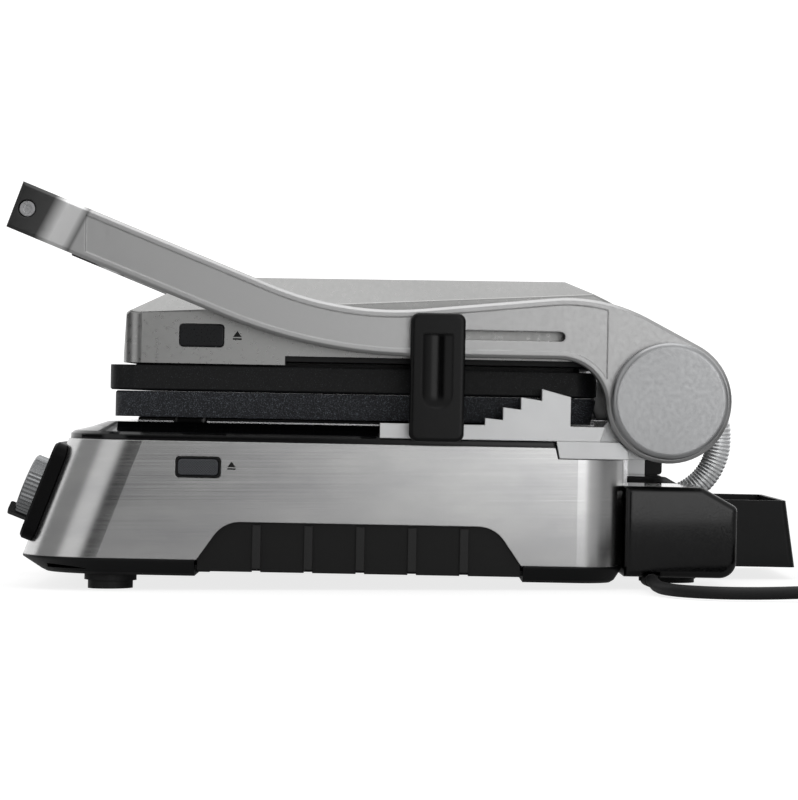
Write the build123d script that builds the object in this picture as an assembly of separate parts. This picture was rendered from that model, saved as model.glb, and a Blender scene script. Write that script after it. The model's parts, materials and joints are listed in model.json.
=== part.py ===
from build123d import *
import math
import os

# Contact grill, in millimetres. It is drawn level, with the hinge at the rear (+Y) and the knobs at the
# front (-Y), and is leaned back at the end, because the front feet are taller than the rear ones.
LEAN = 1.1

# Clearances, and how far a cut runs past a face
FIT = 0.3
RUN = 0.05
SEAT = 0.02
PAST = 1.0
WALL_CUT = 5.0
TINY = 1e-9

# Widths: each is half of the whole, or one layer across it
BASE_HALF = 160.0
SIDE_LEDGE = 10.0
LID_HALF = BASE_HALF - SIDE_LEDGE
PLATE_INSET = 2.0
PLATE_HALF = LID_HALF - PLATE_INSET
ARM_GAP = 3.0
ARM_THICK = 15.0
ARM_IN = LID_HALF + ARM_GAP
ARM_OUT = ARM_IN + ARM_THICK
CAP_DEPTH = 10.0
CAP_OUT = ARM_OUT + CAP_DEPTH

# Heights, from the bottom up
PAN_Z = 4.5
PAN_RIM = 7.9
PAN_FLOOR = 2.5
PAN_STEP = 2.9
STEEL_Z = PAN_Z + PAN_RIM
STEEL_HEIGHT = 55.6
STEEL_TOP = STEEL_Z + STEEL_HEIGHT
STEEL_WALL = 1.2
FRAME_RISE = 8.6
FRAME_TOP = STEEL_TOP + FRAME_RISE
PLATE_LIFT = 2.5
LOWER_PLATE_Z = FRAME_TOP + PLATE_LIFT
LOWER_PLATE_THICK = 12.2
CONTACT_Z = LOWER_PLATE_Z + LOWER_PLATE_THICK
CONTACT_GAP = 0.4
UPPER_PLATE_Z = CONTACT_Z + CONTACT_GAP
UPPER_PLATE_THICK = 11.9
UPPER_PLATE_TOP = UPPER_PLATE_Z + UPPER_PLATE_THICK
LID_LIFT = 1.0
LID_Z = UPPER_PLATE_TOP + LID_LIFT
LID_HEIGHT = 42.4
LID_TOP = LID_Z + LID_HEIGHT

# Depths, from the base's rear wall
REAR_Y = 106.0
BASE_DEPTH = 265.7
FRONT_Y = REAR_Y - BASE_DEPTH
FRONT_RAKE = 20.7
RAKE = math.radians(FRONT_RAKE)
FRONT_CORNER = 38.0
REAR_CORNER = 23.0
HINGE_BEHIND = 18.5
HINGE_DROP = 0.2
HINGE_Y = REAR_Y + HINGE_BEHIND
HINGE_Z = CONTACT_Z - HINGE_DROP
PLATE_AHEAD = 14.0
PLATE_DEPTH = 228.6
PLATE_REAR_Y = REAR_Y - PLATE_AHEAD
PLATE_FRONT_Y = PLATE_REAR_Y - PLATE_DEPTH
LID_AHEAD = 6.0
LID_DEPTH = 232.8
LID_REAR_Y = REAR_Y - LID_AHEAD
LID_FRONT_Y = LID_REAR_Y - LID_DEPTH

# Openings in the steel band
ARCH_TOP = 30.5
ARCH_FOOT_FRONT = -95.5
ARCH_FOOT_REAR = 57.0
ARCH_SHOULDER = 12.6
ARCH_ROUND = 15.0
NOTCH_DEEP = 5.2
NOTCH_SLOPE = 1.5
BAND_NOTCH_Y = 72.0
BAND_NOTCH_Z = STEEL_TOP - NOTCH_DEEP

# Top frame: each step is a rise above the band and an inset from the band's outer face
FRAME_STEPS = ((0.0, 0.8), (2.5, 0.8), (3.9, 2.5), (6.0, 10.5))
FRAME_LEDGE = 17.5
FRAME_REAR_INSET = 1.0
FRAME_REAR_SHARE = 0.4
FRAME_SKIRT = 6.0
FRAME_WALL = 2.4
FRAME_HOLLOW_SUNK = 0.5
FRAME_HOLLOW_INSET = 6.0
FRAME_HOLLOW_TOP_INSET = 17.0
WELL_INSET = 34.0
WELL_MARGIN = 16.0
WELL_HALF = BASE_HALF - WELL_INSET
WELL_FRONT_Y = PLATE_FRONT_Y + WELL_MARGIN
WELL_REAR_Y = PLATE_REAR_Y - WELL_MARGIN
PAD_LONG = 16.0
PAD_WIDE = 8.0
PAD_ROUND = 2.0
PAD_OUT = 10.0
PAD_IN = 20.0

# Vent panels in the arches
VENT_INSET = 2.6
VENT_THICK = 2.2
VENT_LAP = 3.0
VENT_CLEAR = 0.1
VENT_RIBS = 5
VENT_RIB = 4.0
VENT_RIB_PROUD = 1.9
VENT_RIB_SUNK = 0.5
VENT_RIB_BELOW = 1.4
VENT_PITCH = 24.4
VENT_FIRST_Y = -67.4
VENT_NOTCH = 1.6
VENT_OUT = BASE_HALF - VENT_INSET

# Base pan
PAN_FLOOR_TUCK = 11.5
PAN_EDGE_TUCK = 9.0
PAN_NOSE_TUCK = 14.0
PAN_BEVEL = 1.2
PAN_EDGE_INSET = 4.0
PAN_FLOOR_INSET = 6.0
PAN_LIP = 1.0
PAN_LIP_INSET = 0.4
PAN_WALL_INSET = 4.0
PAN_RECESS_WALL = 2.0
VENT_ROOM = 3.5
POST_INSET = 11.0
POST_WIDE = 20.5
POST_START = 4.0
POST_LONG = 20.0
POST_BORE = 18.0
POST_X = (BASE_HALF - POST_INSET - POST_WIDE, BASE_HALF - POST_INSET)
POST_Y = (BAND_NOTCH_Y + POST_START, BAND_NOTCH_Y + POST_START + POST_LONG)

# Release buttons, their catches and springs
BUTTON_LONG = 19.6
BUTTON_TALL = 8.2
LID_BUTTON_LONG = 20.8
LID_BUTTON_TALL = 10.5
BUTTON_Y = -95.4
BUTTON_BELOW = 12.1
LID_BUTTON_RISE = 13.3
BASE_BUTTON_Z = STEEL_TOP - BUTTON_BELOW
LID_BUTTON_Z = LID_Z + LID_BUTTON_RISE
BUTTON_PROUD = 1.4
BUTTON_TRAVEL = 3.0
BUTTON_DEEP = 6.0
BUTTON_HOLE_ROUND = 2.0
BUTTON_ROUND = 1.8
BUTTON_EDGE = 0.6
SURROUND = 0.9
SURROUND_DEEP = 3.5
SURROUND_PROUD = 0.5
LATCH_LONG = 12.0
LATCH_WIDE = 8.0
LATCH_TALL = 5.0
LATCH_ROUND = 1.0
STOP_THICK = 3.0
STOP_HALF = 5.0
STOP_RISE = 3.0
SPRING_R = 2.4
SPRING_WIRE = 0.6
SPRING_LONG = 8.5
LID_LATCH_X = LID_HALF + BUTTON_PROUD - BUTTON_DEEP - LATCH_LONG
LID_STOP_X = LID_LATCH_X - SPRING_LONG
BASE_LATCH_X = BASE_HALF + BUTTON_PROUD - BUTTON_DEEP - LATCH_LONG
BASE_STOP_X = BASE_LATCH_X - SPRING_LONG

# Knobs and their panel on the raked front
BEZEL_INSET = 22.0
BEZEL_TALL = 49.0
BEZEL_THICK = 4.0
BEZEL_LAP = 6.0
BEZEL_ROUND = 6.0
BEZEL_BEVEL = 1.2
BEZEL_RISE = 29.7
BEZEL_HALF = BASE_HALF - BEZEL_INSET
BEZEL_Z = STEEL_Z + BEZEL_RISE
KNOB_PITCH = 110.0
KNOB_DROP = 1.8
KNOB_R = 16.0
KNOB_DEEP = 7.2
KNOB_RING = 3.0
KNOB_TEETH = 48
KNOB_GROOVE = 0.5
KNOB_BEVEL = 0.9
KNOB_SINK = 0.6
KNOB_LIFT = 0.2
KNOB_SEAT_LAP = 2.5
KNOB_SEAT_THICK = 0.5
KNOB_BASE = BEZEL_THICK + KNOB_SEAT_THICK + FIT
POINTER_PROUD = 3.0
POINTER_THICK = 3.6
POINTER_REACH = 1.0
POINTER_START = 11.5
POINTER_ROUND = 1.0
POINTER_TURN = 30.0
SHAFT_R = 3.0
SHAFT_ROOM = 2.0
SHAFT_GRIP = 6.0
SHAFT_BORE_END = 9.0
SHAFT_LONG = KNOB_BASE + STEEL_WALL + SHAFT_GRIP
SWITCH_SIZE = 24.0
SWITCH_DEEP = 14.0
SWITCH_ROUND = 2.0
SWITCH_BACK = -STEEL_WALL - FIT - SWITCH_DEEP
BOARD_THICK = 1.6
BOARD_TALL = 34.0
BOARD_LAP = 20.0
BOARD_ROUND = 2.0
LENS_R = 2.0
LENS_SUNK = 3.0
LENS_PROUD = 0.4
LENS_ROUND = 0.8
LENS_UP = 4.0

# Height rail with its stairs, on the right-hand ledge
RAIL_LAP = 0.5
RAIL_RISE = 3.2
RAIL_TALL = 7.0
RAIL_END = 28.9
RAIL_END_SLOPE = 2.6
RAIL_IN = LID_HALF - RAIL_LAP
RAIL_FRONT_Y = -10.4
RAIL_REAR_Y = HINGE_Y - RAIL_END
RAIL_Z = STEEL_TOP + RAIL_RISE
RAIL_TOP = RAIL_Z + RAIL_TALL
STEP_EDGES = (38.8, 47.2, 55.6, 65.4, 79.0)
STEP_RISES = ((3.3, 2.5), (8.5, 7.5), (13.3, 11.9), (17.4, 13.8))

# Hinge
TUBE_R = 11.0
TUBE_BORE_R = 8.0
COLLAR_R = 28.0
COLLAR_WIDE = 23.0
COLLAR_RIM = 6.0
COLLAR_SUNK = 1.2
COLLAR_GAP = 2.0
BRACKET_OUT = ARM_IN - COLLAR_GAP
BRACKET_IN = BRACKET_OUT - COLLAR_WIDE
EYE_ROOM = 0.7
FLANGE_Z = BAND_NOTCH_Z
FLANGE_START = 2.2
FLANGE_SLOPE = 1.6
FLANGE_END = 18.0
WEB_THICK = 8.0
WEB_INSET = 2.0
WEB_START = 12.0
WEB_KNEE_Y = HINGE_Y - 29.5
WEB_KNEE_DROP = 1.2
WEB_TOP_Y = HINGE_Y - 20.0
HINGE_COVER_R = 20.0
SLEEVE_WALL = 2.0
SLEEVE_FLANGE_R = 18.0
BOLT_LONG = 25.0
BOLT_WASHER_R = 17.0
BOLT_WASHER = 2.0
BOLT_HEX_R = 7.5
BOLT_HEX = 4.0
CAP_R = 27.3
CAP_WALL = 2.0
CAP_ROUND = 2.6
CAP_HOLLOW_R = 20.0
SCREW_R = 2.5
SCREW_HEAD_R = 3.6
SCREW_HEAD = 2.6
SCREW_TIP = 2.0
POST_SCREW_IN = 6.5
POST_SCREW_X = BRACKET_IN + POST_SCREW_IN
POST_SCREW_INSET = (4.0, 6.0)
POST_SCREW_Y = (POST_Y[0] + POST_SCREW_INSET[0], POST_Y[1] - POST_SCREW_INSET[1])
HINGE_LEG_Y = (126.0, 135.0)
HINGE_LEG_X = (BRACKET_IN + 2.0, BRACKET_IN + 14.0)
HINGE_LEG_LAP = 6.0
BUFFER_LONG = 9.5
BUFFER_TALL = 11.5
BUFFER_ROUND = 2.0

# Rear brackets
REAR_INSET = 8.0
REAR_WIDE = 74.0
REAR_OUT = BASE_HALF - REAR_INSET
REAR_IN = REAR_OUT - REAR_WIDE
REAR_Z = 7.9
REAR_TALL = 42.7
REAR_TOP = REAR_Z + REAR_TALL
REAR_DEPTH = 53.0
REAR_BACK_Y = REAR_Y + REAR_DEPTH
REAR_WALL = 2.5
REAR_ROUND = 2.8
REAR_SLOPE_LONG = 16.6
REAR_SLOPE_DROP = 9.2
REAR_LOW_ROUND = 8.0
REAR_BACK_ROUND = 3.0
REAR_TOP_ROUND = 4.0
REAR_BACK_WALL = 10.5
REAR_SIDE_WALL = 4.5
REAR_FLOOR = 3.5

# Hose between the base and the hinge tube
HOSE_ASIDE = 10.0
HOSE_X = REAR_IN - HOSE_ASIDE
HOSE_R = 6.2
HOSE_BORE_R = 4.4
HOSE_RIB = 0.3
HOSE_PITCH = 1.8
HOSE_LOW_Z = 42.5
HOSE_REACH = 21.0
HOSE_LOW_BEND = 30.0
HOSE_HIGH_BEND = 15.7
GLAND_R = 8.4
GLAND_LONG = 6.0
GLAND_HIGH_LONG = 5.5
GLAND_SADDLE = 3.0

# Arms: places are measured from the hinge axis, forwards and up
EYE_R = 29.3
ARM_UNDER = 18.7
ARM_BEND = 166.1
ARM_REACH = 311.3
ARM_RISE = 57.0
ARM_END_TALL = 22.6
ARM_END_LEAN = 19.8
ARM_TOP_BEND = (152.3, 37.3)
ARM_CREST = (31.4, 49.35)
ARM_UNDER_ROUND = 245.0
ARM_TOP_ROUND = 153.0
ARM_CREST_ROUND = 80.0
ARM_ARMPIT = 22.0
ARM_BEVEL = 1.4
PANEL_INSET = 3.4
PANEL_DEEP = 0.5
PANEL_START = 274.0
HANDLE_TALL = 18.5
HANDLE_DEEP = 11.6
HANDLE_ROUND = 5.0
HANDLE_BEHIND = 6.3
HANDLE_SCREW_DEEP = 14.0
HANDLE_SCREW_SUNK = 0.6
HANDLE_SCREW_ROOM = 0.6
HANDLE_SCREW_BED = 0.4
SOCKET_R = 2.2
SOCKET_DEEP = 1.8
PIVOT_Y = -16.0
PIVOT_RISE = 29.4
PIVOT_Z = HINGE_Z + PIVOT_RISE
PIVOT_R = 4.0
PIVOT_BURIED = 7.0
BUSH_R = 8.0
BUSH_LONG = 12.0

# Slider that sets the height, in a slot of the right arm
SLOT_RISE = 29.0
SLOT_Z = HINGE_Z + SLOT_RISE
SLOT_TALL = 4.6
SLIDER_TRAVEL = 57.0
SLIDER_FRONT_Y = 3.1
SLIDER_LONG = 25.6
SLIDER_TALL = 60.0
SLIDER_RISE = 20.2
SLIDER_TOP = HINGE_Z + ARM_UNDER + SLIDER_RISE
SLIDER_THICK = 9.2
SLIDER_ROUND = 4.0
SLIDER_EDGE = 1.6
GROOVE_R = 12.15
GROOVE_OFF = 9.9
GROOVE_TOP = 10.0
GROOVE_LOW = 22.4
GUIDE_Y = (10.0, 18.2)
GUIDE_FLANGE = 1.8
GUIDE_FLANGE_LAP = 3.0
GUIDE_FLANGE_TALL = 10.8
POCKET_DEEP = 2.6
POCKET_LAP = 4.0
POCKET_TALL = 12.0
POCKET_ROUND = 3.0
SLOT_Y = (GUIDE_Y[0] - FIT, GUIDE_Y[1] + SLIDER_TRAVEL + FIT)
FOOT_Y = (12.5, 18.5)
FOOT_IN = 2.5

# Lid housing and its inner frame
LID_WALL = 1.5
LID_FRONT_TOP = 23.7
LID_DRAFT = 1.4
LID_SIDE_RISE = 0.0567
LID_SIDE_PITCH = 0.3806
LID_FLAT_FRONT = 34.8
LID_REAR_FLAT = 23.5
LID_REAR_DROP = 11.0
LID_STEP_Y = -55.9
LID_STEP = 4.3
LID_FRONT_CORNER = 9.0
LID_REAR_CORNER = 7.0
LID_EDGE_ROUND = 1.5
LID_EDGE_ABOVE = 20.0
SKIRT_LIFT = 1.7
SKIRT_TALL = 5.0
SKIRT_WALL = 2.0
UPPER_WELL_FRONT_IN = 24.0
UPPER_WELL_REAR_IN = 22.0
UPPER_WELL_FRONT = LID_FRONT_Y + UPPER_WELL_FRONT_IN
UPPER_WELL_REAR = LID_REAR_Y - UPPER_WELL_REAR_IN

# Cooking plates
PLATE_RIM = 9.0
PLATE_WELL = 4.5
PLATE_CORNER = 12.0
PLATE_DRAFT = 2.6
PLATE_EDGE = 0.8
RIB_PITCH = 12.0
RIB_WIDE = 5.0
RIB_DRAFT = 0.9
RIB_TALL = 3.6
OUTLET_HALF = 9.0
OUTLET_LIP = 4.0
OUTLET_LAP = 2.0
OUTLET_LIP_LOW = 0.4
OUTLET_LIP_HIGH = 3.0
UPPER_PLATE_PROUD = 2.6
BOSS_RISE = 2.4
BOSS_INSET = 8.0
BOSS_FRONT_IN = 4.0

# Heaters
ELEMENT_R = 3.25
ELEMENT_BEND = 24.0
ELEMENT_LEAD = 16.0
ELEMENT_SUNK = 8.0
ELEMENT_SHARE = 0.21
ELEMENT_MIDDLE = 0.55
ELEMENT_BEND_SHARE = 0.24
ELEMENT_FRONT_LOOP = 55.0
ELEMENT_REAR_LOOP = 25.0
ELEMENT_EDGE = 16.0
SHEET = 0.8
REFLECTOR_DEEP = 15.0
REFLECTOR_LIP = 6.0
LOWER_LIP_Z = FRAME_TOP
UPPER_LIP_Z = LID_Z + SKIRT_LIFT + SKIRT_WALL
UPPER_WELL_HALF = LID_STOP_X - STOP_THICK - REFLECTOR_LIP - PAST

# Drip tray, its shelf and the channel into it
TRAY_ASIDE = 20.0
TRAY_HALF = REAR_IN - TRAY_ASIDE
TRAY_Z = 9.4
TRAY_TALL = 33.2
TRAY_DEPTH = 84.4
TRAY_AHEAD = 7.0
TRAY_FRONT_Y = REAR_Y + TRAY_AHEAD
TRAY_BACK_Y = TRAY_FRONT_Y + TRAY_DEPTH
TRAY_BATTER = 5.0
TRAY_WALL = 2.0
TRAY_CORNER = 3.0
SHELF_RAIL = 3.0
SHELF_RAIL_TALL = 5.0
SHELF_LAP = 8.0
SHELF_SHORT = 9.0
SHELF_REAR_Y = REAR_BACK_Y - SHELF_SHORT
CHUTE_HALF = 18.0
CHUTE_LAP = 4.0
CHUTE_BEND_Y = REAR_Y + 5.5
CHUTE_LAY = 0.4
CHUTE_DROP = 7.0
CHUTE_STEP = 1.0
CHUTE_OVER = 3.0
CHUTE_WALL_LAP = 8.0
CHUTE_WALL_RISE = 4.0

# Terminal block
BLOCK_SIZE = (40.0, 22.0, 18.0)
BLOCK_MIDDLE = (REAR_IN + 2.0, 81.0)
BLOCK_POLES = 3
BLOCK_PITCH = 10.0
BLOCK_HOLE_R = 2.5
BLOCK_HOLE = 6.0

# Feet
FRONT_FOOT = (BASE_HALF - 22.0, -137.3)
REAR_FOOT = (REAR_IN + 11.5, 134.5)
FRONT_FOOT_R = 12.4
FRONT_FOOT_TIP_R = 10.7
REAR_FOOT_R = 10.5
REAR_FOOT_TIP_R = 9.9
FOOT_STEP = 3.2
FOOT_BELOW = 8.0

# Mains cord: its boot, its way over the table, the coil and the plug. These are in the frame of the table.
CORD_R = 2.9
BOOT_OUT = 1.0
BOOT_BEHIND = 13.0
BOOT_Z = 4.0
BOOT_LONG = 26.0
BOOT_R = 3.75
BOOT_TIP_R = 3.2
BOOT_STEM_R = 4.6
BOOT_STEM_TALL = 9.0
BOOT_STEM_DROP = 1.0
BOOT_ROOM = 4.0
COIL_FROM_EXIT = (60.8, 115.4)
COIL_LOW_Z = 4.2
COIL_OUTER_R = 37.2
COIL_PITCH = 7.2
COIL_LAYER = 6.6
COIL_SPIRAL = 1.75
COIL_CLIMB = 0.5
COIL_TAIL = 0.25
COIL_TURNS = 2 * COIL_SPIRAL + COIL_CLIMB + COIL_TAIL
COIL_INNER_R = COIL_OUTER_R - COIL_PITCH * COIL_SPIRAL
COIL_LEAD = 2 * CORD_R
# Each place of the route is ahead of the boot's tip in X, behind it in Y, and over the table
CORD_ROUTE = (
    (14.0, 0.0, BOOT_Z),
    (34.0, -0.4, 3.5),
    (54.0, 0.9, 3.3),
    (74.0, 7.9, 3.2),
    (89.5, 23.4, 3.2),
    (96.6, 43.9, 3.4),
    (COIL_FROM_EXIT[0] + COIL_OUTER_R, 66.4, COIL_LOW_Z),
)
CORD_BEND_SHARE = 0.45
GAP_STEPS = 400
GAP_APART = 12
TIE_WIDE = 7.0
TIE_THICK = 1.0
TIE_ROUND = 2.2
TIE_INNER_ROUND = 1.6
PLUG_LONG = 36.0
PLUG_WIDE = 34.0
PLUG_TALL = 15.0
PLUG_BOOT = 22.0
PLUG_BOOT_R = 6.5
PLUG_BOOT_TIP = 0.8
PLUG_DROP = 1.5
PLUG_OFF_TABLE = 0.1
PLUG_CORNER = 8.0
PLUG_ROUND = 3.0
PIN_R = 2.4
PIN_LONG = 19.0
PIN_PITCH = 19.0
PIN_GRIP = 9.0


# Shapes that many pieces use
def box(x, y, z):
    """A box from a low and a high value on each axis."""
    middle = Pos((x[0] + x[1]) / 2, (y[0] + y[1]) / 2, (z[0] + z[1]) / 2)
    return middle * Box(x[1] - x[0], y[1] - y[0], z[1] - z[0])


def outline(*points):
    """A face with straight sides through these points."""
    return make_face(Polyline(*points, close=True))


def slab(face, x):
    """A side view, drawn as (Y, Z), made solid from one X to another."""
    return extrude(Plane.YZ.offset(x[0]) * face, x[1] - x[0])


def rod(y, z, radius, x):
    """A round bar along X."""
    return slab(Pos(y, z) * Circle(radius), x)


def rod_back(x, z, radius, y):
    """A round bar along Y."""
    return Pos(x, y[0], z) * Rot(-90, 0, 0) * extrude(Circle(radius), y[1] - y[0])


def rod_up(x, y, radius, z):
    """A round bar along Z."""
    return Pos(x, y, z[0]) * extrude(Circle(radius), z[1] - z[0])


def rounded(width, height, radius):
    """A rectangle about the origin with round corners."""
    return RectangleRounded(width, height, radius)


def both_sides(shape):
    """A right-hand piece with its mirror image on the left."""
    return [shape, mirror(shape, about=Plane.YZ)]


def front_y(z, out=0.0):
    """Where the raked steel front is at a height, or a plane that far out in front of it."""
    return FRONT_Y - (STEEL_TOP - z) * math.tan(RAKE) - out / math.cos(RAKE)


def plan(z, front, inset=0.0, rear_inset=None):
    """The base's outline from above at a height, set in from the steel's outer face."""
    half = BASE_HALF - inset
    rear = REAR_Y - (inset if rear_inset is None else rear_inset)
    face = outline((-half, front), (half, front), (half, rear), (-half, rear))
    face = fillet(face.vertices().sort_by(Axis.Y)[:2], FRONT_CORNER - inset)
    face = fillet(face.vertices().sort_by(Axis.Y)[-2:], REAR_CORNER - inset)
    return Pos(0, 0, z) * face


def base_form(inset, low, high):
    """The space inside the steel base, set in by a wall, between two heights."""
    return loft([plan(z, front_y(z, -inset), inset) for z in (low, high)], ruled=True)


FRONT_PLANE = Plane(
    origin=(0, front_y(BEZEL_Z), BEZEL_Z),
    x_dir=(1, 0, 0),
    z_dir=(0, -math.cos(RAKE), math.sin(RAKE)),
)


def on_front(x, up, out):
    """A place on the raked front: across, up the slope, and out from the steel."""
    return FRONT_PLANE * Pos(x, up, out)


def front_rod(x, up, radius, out):
    """A round bar square to the raked front, from one distance out to another."""
    return on_front(x, up, out[0]) * extrude(Circle(radius), out[1] - out[0])


def arch(inset):
    """The low opening in each side wall, between the front and rear feet of the band."""
    shoulder = ARCH_SHOULDER - inset
    low = PAN_Z - PAST
    face = outline(
        (ARCH_FOOT_FRONT + inset, low),
        (ARCH_FOOT_FRONT + inset, STEEL_Z),
        (ARCH_FOOT_FRONT + inset + shoulder, ARCH_TOP - inset),
        (ARCH_FOOT_REAR - inset - shoulder, ARCH_TOP - inset),
        (ARCH_FOOT_REAR - inset, STEEL_Z),
        (ARCH_FOOT_REAR - inset, low),
    )
    return fillet(face.vertices().sort_by(Axis.Y)[-2:], ARCH_ROUND - inset)


def above(z):
    """The half of a side view that lies over a height."""
    tall = LID_TOP
    return Pos(0, z + tall / 2) * Rectangle(4 * BASE_DEPTH, tall)


def button_face(long, tall, z, radius=BUTTON_HOLE_ROUND):
    """A button's outline on the right-hand side."""
    return Pos(BUTTON_Y, z) * rounded(long, tall, radius)


# Base
def make_base_shell():
    """The brushed steel band round the base: raked front, two sides and rear wall."""
    band = base_form(0, STEEL_Z, STEEL_TOP) - base_form(STEEL_WALL, STEEL_Z, STEEL_TOP)
    band -= slab(arch(0), (-BASE_HALF - PAST, BASE_HALF + PAST))
    notch = outline(
        (BAND_NOTCH_Y, STEEL_TOP + PAST),
        (BAND_NOTCH_Y + NOTCH_SLOPE, BAND_NOTCH_Z),
        (REAR_Y + PAST, BAND_NOTCH_Z),
        (REAR_Y + PAST, STEEL_TOP + PAST),
    )
    for part in both_sides(slab(notch, (BRACKET_IN - FIT, BASE_HALF + PAST))):
        band -= part
    surround = button_face(BUTTON_LONG + 2 * SURROUND, BUTTON_TALL + 2 * SURROUND, BASE_BUTTON_Z)
    band -= slab(surround, (BASE_HALF - WALL_CUT, BASE_HALF + PAST))
    for x in (-KNOB_PITCH, 0, KNOB_PITCH):
        band -= front_rod(x, -KNOB_DROP, SHAFT_R + SHAFT_ROOM, (-WALL_CUT, WALL_CUT))
    band -= rod_back(HOSE_X, HOSE_LOW_Z, HOSE_BORE_R, (REAR_Y - WALL_CUT, REAR_Y + PAST))
    return band


def make_top_frame():
    """The glossy black frame on top of the band, with a well for the lower heater."""
    sections = []
    for rise, inset in (*FRAME_STEPS, (FRAME_RISE, FRAME_LEDGE)):
        rear_inset = FRAME_REAR_INSET + inset * FRAME_REAR_SHARE
        sections.append(plan(STEEL_TOP + rise, front_y(STEEL_TOP, -inset), inset, rear_inset))
    frame = loft(sections, ruled=True)
    inside = STEEL_WALL + FIT
    frame += base_form(inside, STEEL_TOP - FRAME_SKIRT, STEEL_TOP)
    frame -= base_form(inside + FRAME_WALL, STEEL_TOP - FRAME_SKIRT, STEEL_TOP)
    hollow = []
    ends = (
        (STEEL_TOP - FRAME_HOLLOW_SUNK, FRAME_HOLLOW_INSET),
        (FRAME_TOP - FRAME_WALL, FRAME_HOLLOW_TOP_INSET),
    )
    for z, inset in ends:
        hollow.append(plan(z, front_y(STEEL_TOP, -inset), inset, inset))
    frame -= loft(hollow, ruled=True)
    well_z = (STEEL_TOP, FRAME_TOP + PAST)
    frame -= box((-WELL_HALF, WELL_HALF), (WELL_FRONT_Y, WELL_REAR_Y), well_z)
    for x in (-WELL_HALF - PAD_OUT, WELL_HALF + PAD_OUT):
        for y in (WELL_FRONT_Y + PAD_IN, WELL_REAR_Y - PAD_IN):
            frame += Pos(x, y, FRAME_TOP) * extrude(rounded(PAD_WIDE, PAD_LONG, PAD_ROUND), PLATE_LIFT)
    corner_y = (BAND_NOTCH_Y - FIT, REAR_Y + PAST)
    corner = box((BRACKET_IN - FIT, BASE_HALF + PAST), corner_y, (0, FRAME_TOP + PAST))
    for part in both_sides(corner):
        frame -= part
    rail = (RAIL_IN - FIT, BASE_HALF + PAST)
    return frame - box(rail, (RAIL_FRONT_Y - FIT, REAR_Y), (RAIL_Z, FRAME_TOP + PAST))


def make_base_pan():
    """The black underside: floor, rim under the band, shelf for the tray and posts for the hinges."""
    front = front_y(STEEL_Z)
    faces = [
        plan(PAN_Z, front + PAN_FLOOR_TUCK, PAN_FLOOR_INSET),
        plan(PAN_Z + PAN_BEVEL, front + PAN_EDGE_TUCK, PAN_EDGE_INSET),
        plan(STEEL_Z - PAN_LIP, front, PAN_LIP_INSET),
        plan(STEEL_Z, front, PAN_LIP_INSET),
    ]
    pan = loft(faces, ruled=True)
    recess = (ARCH_FOOT_FRONT - PAST, ARCH_FOOT_REAR + PAST)
    walled = (recess[0] - PAN_RECESS_WALL, recess[1] + PAN_RECESS_WALL)
    inside = base_form(PAN_WALL_INSET, PAN_Z + PAN_FLOOR, STEEL_Z + PAST)
    across = (-BASE_HALF - PAST, BASE_HALF + PAST)
    rooms = (
        ((front + PAN_NOSE_TUCK, walled[0]), 0),
        (walled, PAN_STEP),
        ((walled[1], REAR_Y), 0),
    )
    for y, rise in rooms:
        pan -= inside & box(across, y, (PAN_Z + PAN_FLOOR + rise, STEEL_Z + PAST))
    pan -= box(across, recess, (PAN_Z - PAST, PAN_Z + PAN_STEP))
    vent_room = box((VENT_OUT - VENT_ROOM, BASE_HALF + PAST), recess, (PAN_Z + PAN_FLOOR, STEEL_Z + PAST))
    for part in both_sides(vent_room):
        pan -= part
    half = TRAY_HALF + SHELF_RAIL
    shelf = box((-half, half), (REAR_Y - SHELF_LAP, SHELF_REAR_Y), (PAN_Z + PAN_LIP, TRAY_Z - FIT))
    pan += shelf - base_form(0, STEEL_Z, STEEL_TOP)
    rail_z = (TRAY_Z - PAST, TRAY_Z + SHELF_RAIL_TALL)
    for part in both_sides(box((TRAY_HALF + FIT, half), (REAR_Y + PAST, SHELF_REAR_Y), rail_z)):
        pan += part
    for part in both_sides(box(POST_X, POST_Y, (PAN_Z + PAN_LIP, FLANGE_Z + FIT))):
        pan += part
    for side in (-1, 1):
        for y in POST_SCREW_Y:
            pan -= rod_up(side * POST_SCREW_X, y, SCREW_R + SEAT, (FLANGE_Z - POST_BORE, FLANGE_Z + PAST))
    stop_y = (BUTTON_Y - STOP_HALF, BUTTON_Y + STOP_HALF)
    stop_z = (PAN_Z + PAN_LIP, BASE_BUTTON_Z + STOP_RISE)
    return pan + box((BASE_STOP_X - STOP_THICK, BASE_STOP_X), stop_y, stop_z)


def make_vent_panels():
    """The black ribbed panels that fill the arches in both sides, with a drain notch under each rib."""
    low = PAN_Z + PAN_FLOOR
    sheet = (VENT_OUT - VENT_THICK, VENT_OUT)
    panel = slab(arch(-VENT_LAP) & above(STEEL_Z + FIT), sheet)
    panel &= base_form(STEEL_WALL + VENT_CLEAR, low, STEEL_TOP)
    panel += slab(arch(FIT) & above(low), sheet)
    inside = slab(arch(FIT), (VENT_OUT - PAST, BASE_HALF))
    rib_x = (VENT_OUT - VENT_RIB_SUNK, VENT_OUT + VENT_RIB_PROUD)
    notch_x = (VENT_OUT - VENT_THICK - PAST, BASE_HALF)
    for i in range(VENT_RIBS):
        y = VENT_FIRST_Y + i * VENT_PITCH
        wide = (y - VENT_RIB / 2, y + VENT_RIB / 2)
        panel += box(rib_x, wide, (low + VENT_NOTCH, ARCH_TOP - VENT_RIB_BELOW)) & inside
        panel -= box(notch_x, wide, (low - PAST, low + VENT_NOTCH))
    return both_sides(panel)


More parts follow.
